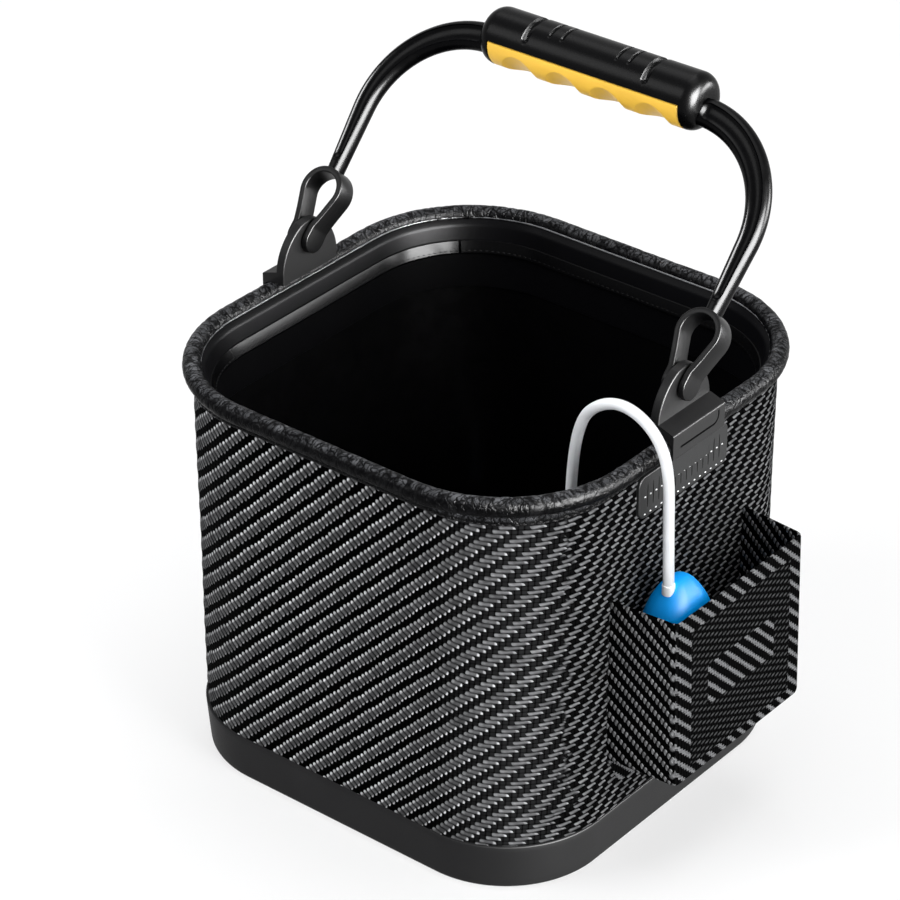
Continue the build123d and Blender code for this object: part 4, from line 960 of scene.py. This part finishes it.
def makeClevis(plan, side, word):
    # A strap carried round a teardrop: up one leg, round the loop and down the other. Its half width is that
    # of a disc round the pin at the foot, and narrows a little to the loop.
    upper = plan["loopRise"] - plan["heel"]
    away = math.hypot(plan["leg"], upper)
    slope = math.degrees(math.asin(plan["loop"] / away) - math.atan2(plan["leg"], upper))
    slant = math.sqrt(away ** 2 - plan["loop"] ** 2)
    cut = plan["knee"] * math.tan(math.radians(slope) / 2)
    leg = [(plan["foot"] + plan["heel"] - cut, 0), (plan["knee"] * math.radians(slope), slope), (slant - cut, 0)]
    runs = leg + [(plan["loop"] * math.radians(180 + 2 * slope), -180 - 2 * slope)] + leg[::-1]
    path, normals, _ = bentPath((-plan["leg"], -plan["foot"]), 90, runs, 0.7)
    rise = path[:, 1]
    disc = np.sqrt(np.clip(plan["foot"] ** 2 - np.minimum(rise, 0) ** 2, 0.09, None))
    narrow = plan["foot"] + (plan["topHalf"] - plan["foot"]) * np.clip(rise / plan["narrowRise"], 0, 1)
    halfWidth = np.where(rise < 0, disc, narrow)
    # each outline point: across the strap, a sign times the half width, and an inset from that width
    arc = np.linspace(0, np.pi / 2, 4)
    quarter = stacked(plan["strap"] / 2 + plan["edge"] * (np.sin(arc) - 1), 1, plan["edge"] * (np.cos(arc) - 1))
    outline = np.concatenate([quarter[::-1], quarter * (-1, 1, 1), quarter[::-1] * -1, quarter * (1, -1, -1)])
    x, up = np.moveaxis(path[:, None] + normals[:, None] * outline[:, :1], -1, 0)
    out = outline[:, 1] * halfWidth[:, None] + outline[:, 2]
    limit = np.maximum(halfWidth[:, None], 0.05)
    points = inBail(side * plan["middle"] + x, up, np.clip(out, -limit, limit))
    return gridMesh(f"clevis{word}", points, "bar", sharp=45)


bowAbs = plainMoulding("polishedAbsBlack", "010102", 0.27, 0.04, 6.0, 0.01)
clevisNylon = plainMoulding("mouldedNylonSatin", "0D0D0E", 0.34, 0.075, 0.35, 0.012)
sides = ((1, "Right"), (-1, "Left"))
for side, word in sides[::-1]:
    dress(makeBow(bailPlan, side, word), "bail", bowAbs, "bail_black", "bail_bow")
for side, word in sides:
    dress(makeClevis(clevisPlan, side, word), "bail", clevisNylon, "clevis_black", "clevis_" + word.lower())
print("bail made")

gripPlan = {
    "half": 65.0, "radius": 14.5, "endRound": 7.5, "mouth": 4.6, "padHalf": 57.5, "padReach": 58.0, "padDepth": 3.4,
    "padEdge": 0.6, "gap": 0.35,
    # the half spacing, half width, span in degrees and depth of each pair of grooves
    "grooves": ((35.8, 1.8, 103.0, 2.5), (23.7, 0.9, 76.0, 1.5), (16.5, 0.9, 76.0, 1.5)),
    "fingerPitch": 26.7, "fingerHalf": 9.9, "fingerSpan": 41.0, "fingerBite": 2.7,
}


def stepsWithEdges(low, high, step, edges, width):
    # Even steps with a close pair of extra ones at each edge, so that a step in the surface stays crisp
    even = np.linspace(low, high, int((high - low) / step) + 1)
    pairs = np.concatenate([[edge - width, edge + width] for edge in edges])
    keep = even[np.abs(even[:, None] - np.array(edges)).min(1) > width * 1.5]
    return np.sort(np.concatenate([keep, pairs]))


def inGrip(along, radius, angle):
    # Round the grip's axis; 0 degrees faces the pivot
    rise = bailPlan["gripRise"] - radius * np.cos(angle)
    return inBail(along, rise, radius * np.sin(angle))


def makeGrip(plan):
    # A round bar with turned ends. Its radius falls in capsule-shaped grooves across the top and in a flat
    # bed below, which holds the soft pad.
    reach = math.radians(plan["padReach"])
    edges = [-plan["padHalf"], plan["padHalf"]]
    along = stepsWithEdges(-plan["half"] + 0.01, plan["half"] - 0.01, 0.55, edges, 0.08)
    angle = stepsWithEdges(-np.pi, np.pi, math.radians(3), [-reach, reach], 0.006)[:-1]
    u, v = np.meshgrid(along, angle, indexing="ij")
    fromEnd = np.clip(np.abs(u) - plan["half"] + plan["endRound"], 0, plan["endRound"])
    radius = plan["radius"] - plan["endRound"] + np.sqrt(np.clip(plan["endRound"] ** 2 - fromEnd ** 2, 0.0, None))
    top = np.pi - np.abs(v)
    for place, half, span, depth in plan["grooves"]:
        overrun = np.maximum(top * plan["radius"] - math.radians(span) * plan["radius"] + half, 0)
        away = np.hypot(np.abs(u) - place, overrun)
        radius = radius - depth * np.sqrt(np.clip(1 - (away / half) ** 2, 0, 1))
    inBed = (np.abs(u) < plan["padHalf"]) & (np.abs(v) < reach)
    radius = np.where(inBed, plan["radius"] - plan["padDepth"], radius)
    mouth = np.full_like(angle, plan["mouth"])
    first, last = (inGrip(np.full_like(angle, end), mouth, angle)[None] for end in along[[0, -1]])
    return gridMesh("gripShell", np.concatenate([first, inGrip(u, radius, v), last]), "bar", sharp=40)


def makePad(plan):
    # The pad's outside is the grip's round with four finger hollows. A hollow is a spoon: with q the sum of the
    # squares of the place along it and round it, each over its half size, its depth is the bite times (1 - q)^0.75.
    reach = math.radians(plan["padReach"]) - plan["gap"] / plan["radius"]
    halfLong = plan["padHalf"] - plan["gap"]
    along = np.linspace(-halfLong, halfLong, 301)
    angle = np.linspace(-reach, reach, 71)
    u, v = np.meshgrid(along, angle, indexing="ij")
    rim = np.minimum(np.minimum(halfLong - np.abs(u), (reach - np.abs(v)) * plan["radius"]) / plan["padEdge"], 1)
    radius = plan["radius"] - plan["padEdge"] * (1 - np.sqrt(np.clip(1 - (1 - rim) ** 2, 0, 1)))
    places = (np.arange(4) - 1.5) * plan["fingerPitch"]
    near = u - places[np.abs(u[..., None] - places).argmin(-1)]
    q = (near / plan["fingerHalf"]) ** 2 + (v / math.radians(plan["fingerSpan"])) ** 2
    radius = radius - plan["fingerBite"] * np.clip(1 - q, 0, 1) ** 0.75
    outer = inGrip(u, radius, v)
    inner = inGrip(u, np.full_like(u, plan["radius"] - plan["padDepth"] + 0.05), v)
    points = np.concatenate([outer, inner[:, ::-1]], 1)
    return gridMesh("gripPad", points, "bar", sharp=50)


gripAbs = plainMoulding("mouldedAbsBlack", "030304", 0.28, 0.05, 0.5, 0.01)
gripTpe = plainMoulding("softTpeYellow", "FFCB4A", 0.4, 0.2, 0.5, 0.015, mottle=0.05)
dress(makeGrip(gripPlan), "bail", gripAbs, "grip_black", "grip_shell")
dress(makePad(gripPlan), "bail", gripTpe, "grip_yellow", "grip_insert")
print("grip made")

# The trim on the two sewn flanges: stitches and weld lines
flangePlan = {
    "face": 118.8, "middle": -1.0, "half": 35.0, "edge": 3.5, "rows": (195.6, 186.2), "pitch": 4.35,
    "dotLength": 1.3, "dotRadius": 0.38, "ribLength": 15.5, "ribMiddle": 195.6, "ribRadius": 0.4, "ribSink": 0.2,
}


def makeFlangeTrim(plan, side, word):
    # Two rows of stitches, and upright ribs in the gaps between them
    count = int(2 * (plan["half"] - plan["edge"]) / plan["pitch"]) + 1
    places = plan["middle"] + (np.arange(count) - (count - 1) / 2) * plan["pitch"]
    dots = np.array([(side * plan["face"], y, z) for z in plan["rows"] for y in places])
    spots = stacked(side * (plan["face"] - plan["ribSink"]), places[:-1] + plan["pitch"] / 2, plan["ribMiddle"])
    made = []
    for kind, centres, way, length, radius, rings in (
            ("Stitches", dots, (0.0, 1.0, 0.0), plan["dotLength"], plan["dotRadius"], 6),
            ("Ribs", spots, (0.0, 0.0, 1.0), plan["ribLength"], plan["ribRadius"], 9)):
        ways, outward = (np.tile(line, (len(centres), 1)) for line in (way, (side, 0.0, 0.0)))
        made.append(beads(f"flange{kind}{word}", centres, ways, outward, length, radius, rings))
    return made


# Painted shadows in the brackets' slits
slitPlan = {"floor": 125.2, "start": -14.5, "end": 11.3, "level": 217.4, "bend": 4.0, "rise": 2.2, "width": 1.0}


def makeSlitShadow(plan, side, word):
    # A painted shadow in the bracket's slit: a thin black strip on its floor along the same line, quarter turn and
    # rise
    arc = np.linspace(0, np.pi / 2, 9)
    turnY, turnZ = plan["end"] + plan["bend"] * np.sin(arc), plan["level"] + plan["bend"] * (1 - np.cos(arc))
    line = np.concatenate([[(plan["start"], plan["level"])], stacked(turnY, turnZ),
                           [(turnY[-1], turnZ[-1] + plan["rise"])]])
    heading = np.concatenate([[0], arc, [np.pi / 2]])
    across = stacked(-np.sin(heading), np.cos(heading)) * plan["width"] / 2
    corners = line[:, None] + across[:, None] * np.array([1, 1, -1, -1])[:, None]
    depth = side * (plan["floor"] + np.array([0.04, 0.1, 0.1, 0.04]))
    points = stacked(depth, corners[..., 0], corners[..., 1])
    return gridMesh(f"slitShadowStrip{word}", points, "bar", flip=side > 0, sharp=50)


# painted shadow: a black strip where the slit's inside is in shade
slitShade = plainMoulding("paintedSlitShadow", "010101", 0.8, 0.0, 0.5, 0.01)
threadWhite = plainMoulding("bleachedThread", "E9EAEC", 0.6, 0.3, 0.4, 0.05)
bracketNylon = plainMoulding("mouldedNylonMatte", "121213", 0.42, 0.075, 0.3, 0.02)
flangePvc = plainMoulding("weldedPvcPatch", "191A1B", 0.45, 0.07, 0.5, 0.05)
weldLine = plainMoulding("pressedWeldLine", "030303", 0.6, 0.01, 0.5, 0.03)
for side, word in sides:
    dress(makeSlitShadow(slitPlan, side, word), "bucket", slitShade, "collar_black")
for side, word in sides:
    stitches, ribs = makeFlangeTrim(flangePlan, side, word)
    dress(stitches, "bucket", threadWhite, "flange_grey")
    dress(ribs, "bucket", weldLine, "flange_grey")
print("flanges trimmed")

# The pump's dome. A level is its height, its two half sizes and its corners' radius.
pumpPlan = {
    "x": 134.5, "y": -24.6,
    "levels": ((118.5, 15.0, 19.0, 12.0), (124.0, 14.9, 18.8, 12.0), (131.0, 14.3, 17.8, 11.6),
               (138.0, 13.0, 16.0, 10.6), (144.5, 10.8, 13.2, 9.2), (150.0, 8.0, 9.8, 7.4),
               (153.6, 5.0, 6.3, 4.6), (155.2, 1.8, 2.3, 1.7)),
}


def makeDome(plan):
    # Rounded rectangles stacked up the dome, each smoothly between its neighbours
    levels = np.array(plan["levels"])
    fine = np.linspace(0, 1, 40)
    knots = np.linspace(0, 1, len(levels))
    smooth = np.stack([np.polyval(np.polyfit(knots, levels[:, k], 6), fine) for k in range(4)], -1)
    smooth[0], smooth[-1] = levels[0], levels[-1]
    rings = []
    for z, halfX, halfY, corner in smooth:
        corner = min(corner, halfX * 0.97)
        outline = softOutline([(-halfX, -halfY, corner), (halfX, -halfY, corner), (halfX, halfY, corner),
                               (-halfX, halfY, corner)], 10)
        rings.append(np.concatenate([outline + (plan["x"], plan["y"]), np.full((len(outline), 1), z)], -1))
    return gridMesh("pumpDome", np.array(rings), "bar", flip=True)


pumpAbs = plainMoulding("mouldedAbsBlue", "00A2FF", 0.5, 0.04, 0.5, 0.01, mottle=0.04)
dress(makeDome(pumpPlan), "bucket", pumpAbs, "pump_blue", "pump_upper_case")
print("pump dome made")

# Finishes for the nodes that keep their own shape: a material, then its nodes
steel = plainMoulding("drawnSteel", "B9BBBE", 0.28, 0.5, 0.3, 0.01, metal=1.0)
acetal = plainMoulding("mouldedAcetal", "E6E4DE", 0.4, 0.4, 0.5, 0.01)
rubber = plainMoulding("mouldedRubber", "1A1A1B", 0.6, 0.3, 0.3, 0.03)
finishes = (
    (steel, "rim_wire", "pivot_pin_left", "pivot_pin_right", "port_cover_pin", "charging_port", "pump_motor",
     "motor_shaft", "chassis_screws"),
    (acetal, "crank_hub", "diaphragm_rocker", "pump_chassis", "pump_head", "valve_cap", "stone_fitting"),
    (rubber, "case_seal", "diaphragm", "outlet_hose", "button_switch"),
    (bracketNylon, "ear_bracket_right", "ear_bracket_left"),
    (flangePvc, "sewn_flange_right", "sewn_flange_left"),
    (pumpAbs, "pump_lower_case"),
    (plainMoulding("pressedPpBoard", "3B3B3D", 0.6, 0.3, 0.8, 0.05), "base_board"),
    (plainMoulding("mouldedTpeNavy", "12406E", 0.55, 0.3, 0.4, 0.02), "port_cover"),
    (plainMoulding("mouldedTpeButton", "0F4E8C", 0.5, 0.3, 0.4, 0.02), "power_button"),
    (plainMoulding("clearLens", "BFE6F2", 0.08, 0.5, 2.0, 0.002, coat=0.6), "lamp_lens"),
    (plainMoulding("solderMaskGreen", "1C6B3C", 0.35, 0.45, 0.8, 0.03), "circuit_board"),
    (plainMoulding("shrinkSleeve", "2F7F8C", 0.3, 0.45, 3.0, 0.05), "battery"),
    (plainMoulding("mouldedAbsTip", "F0F1F3", 0.4, 0.3, 0.5, 0.01), "pump_nipple"),
    (plainMoulding("sinteredStone", "7D8FA0", 0.85, 0.2, 0.7, 0.35, mottle=0.25), "air_stone"))
for material, *names in finishes:
    for name in names:
        nodes[name].data.materials.clear()
        nodes[name].data.materials.append(material)
print("finishes given to", sum(len(names) for _, *names in finishes), "nodes")

# The studio: a floor, an even sky, and lights that face one point
studioPlan = {
    "floorColour": "F4F4F5", "floorHalf": 6.0, "floorGlow": 0.62, "worldFill": 0.55,
    "key": {"place": (-1.5, -1.9, 1.9), "size": (1.3, 1.3), "power": 42},
    "fill": {"place": (2.2, -0.4, 1.3), "size": (0.9, 1.6), "power": 26},
    "top": {"place": (0.1, 0.4, 2.4), "size": (1.6, 1.2), "power": 24},
    # softboxes that only show in reflections
    "sideBox": {"place": (2.2, -0.3, 0.85), "size": (1.9, 1.7), "power": 2700},
    "lowBox": {"place": (1.7, 1.5, 0.45), "size": (1.2, 0.7), "power": 260},
    "roofBox": {"place": (-0.7, 0.7, 2.1), "size": (1.2, 1.2), "power": 16},
    "aim": (0.0, 0.0, 0.16),
}


def seenRays(add):
    # 1 for the rays that show a surface, directly, mirrored or through something clear, and 0 for its light
    rays = add("LightPath").outputs
    straight = add("Math", "MAXIMUM", [rays["Is Camera Ray"], rays["Is Glossy Ray"]])
    return add("Math", "MAXIMUM", [straight, rays["Is Transmission Ray"]])


def makeStudio(plan):
    mesh = bpy.data.meshes.new("floor")
    h = plan["floorHalf"]
    mesh.from_pydata([(-h, -h, 0), (h, -h, 0), (h, h, 0), (-h, h, 0)], [], [(0, 1, 2, 3)])
    floor = addObject("floor", mesh)
    material, add = newMaterial("studioPaper")
    share = add("Math", "MULTIPLY", [seenRays(add), plan["floorGlow"]])
    paper = add("BsdfDiffuse", None, {"Color": hexColour(plan["floorColour"])})
    glow = add("Emission", None, {"Color": (1, 1, 1, 1), "Strength": 1.0})
    add("OutputMaterial", None, [add("MixShader", None, [share, paper, glow])])
    mesh.materials.append(material)
    world = bpy.data.worlds.new("studio")
    bpy.context.scene.world = world
    world.use_nodes = True
    world.node_tree.nodes.clear()
    add = partial(addNode, world.node_tree)
    strength = add("MapRange", None, [seenRays(add), 0.0, 1.0, plan["worldFill"], 1.0])
    sky = add("Background", None, {"Color": (1, 1, 1, 1), "Strength": strength})
    add("OutputWorld", None, {"Surface": sky})
    for name in ("key", "fill", "top", "sideBox", "lowBox", "roofBox"):
        lamp = bpy.data.lights.new(name, "AREA")
        lamp.shape = "RECTANGLE"
        lamp.size, lamp.size_y = plan[name]["size"]
        lamp.energy = plan[name]["power"]
        made = addObject(name, lamp)
        made.location = plan[name]["place"]
        way = Vector(plan[name]["place"]) - Vector(plan["aim"])
        made.rotation_euler = way.to_track_quat("Z", "Y").to_euler()
        made.visible_diffuse = not name.endswith("Box")


makeStudio(studioPlan)
bpy.context.scene.view_settings.view_transform = "Standard"
print("studio lit")
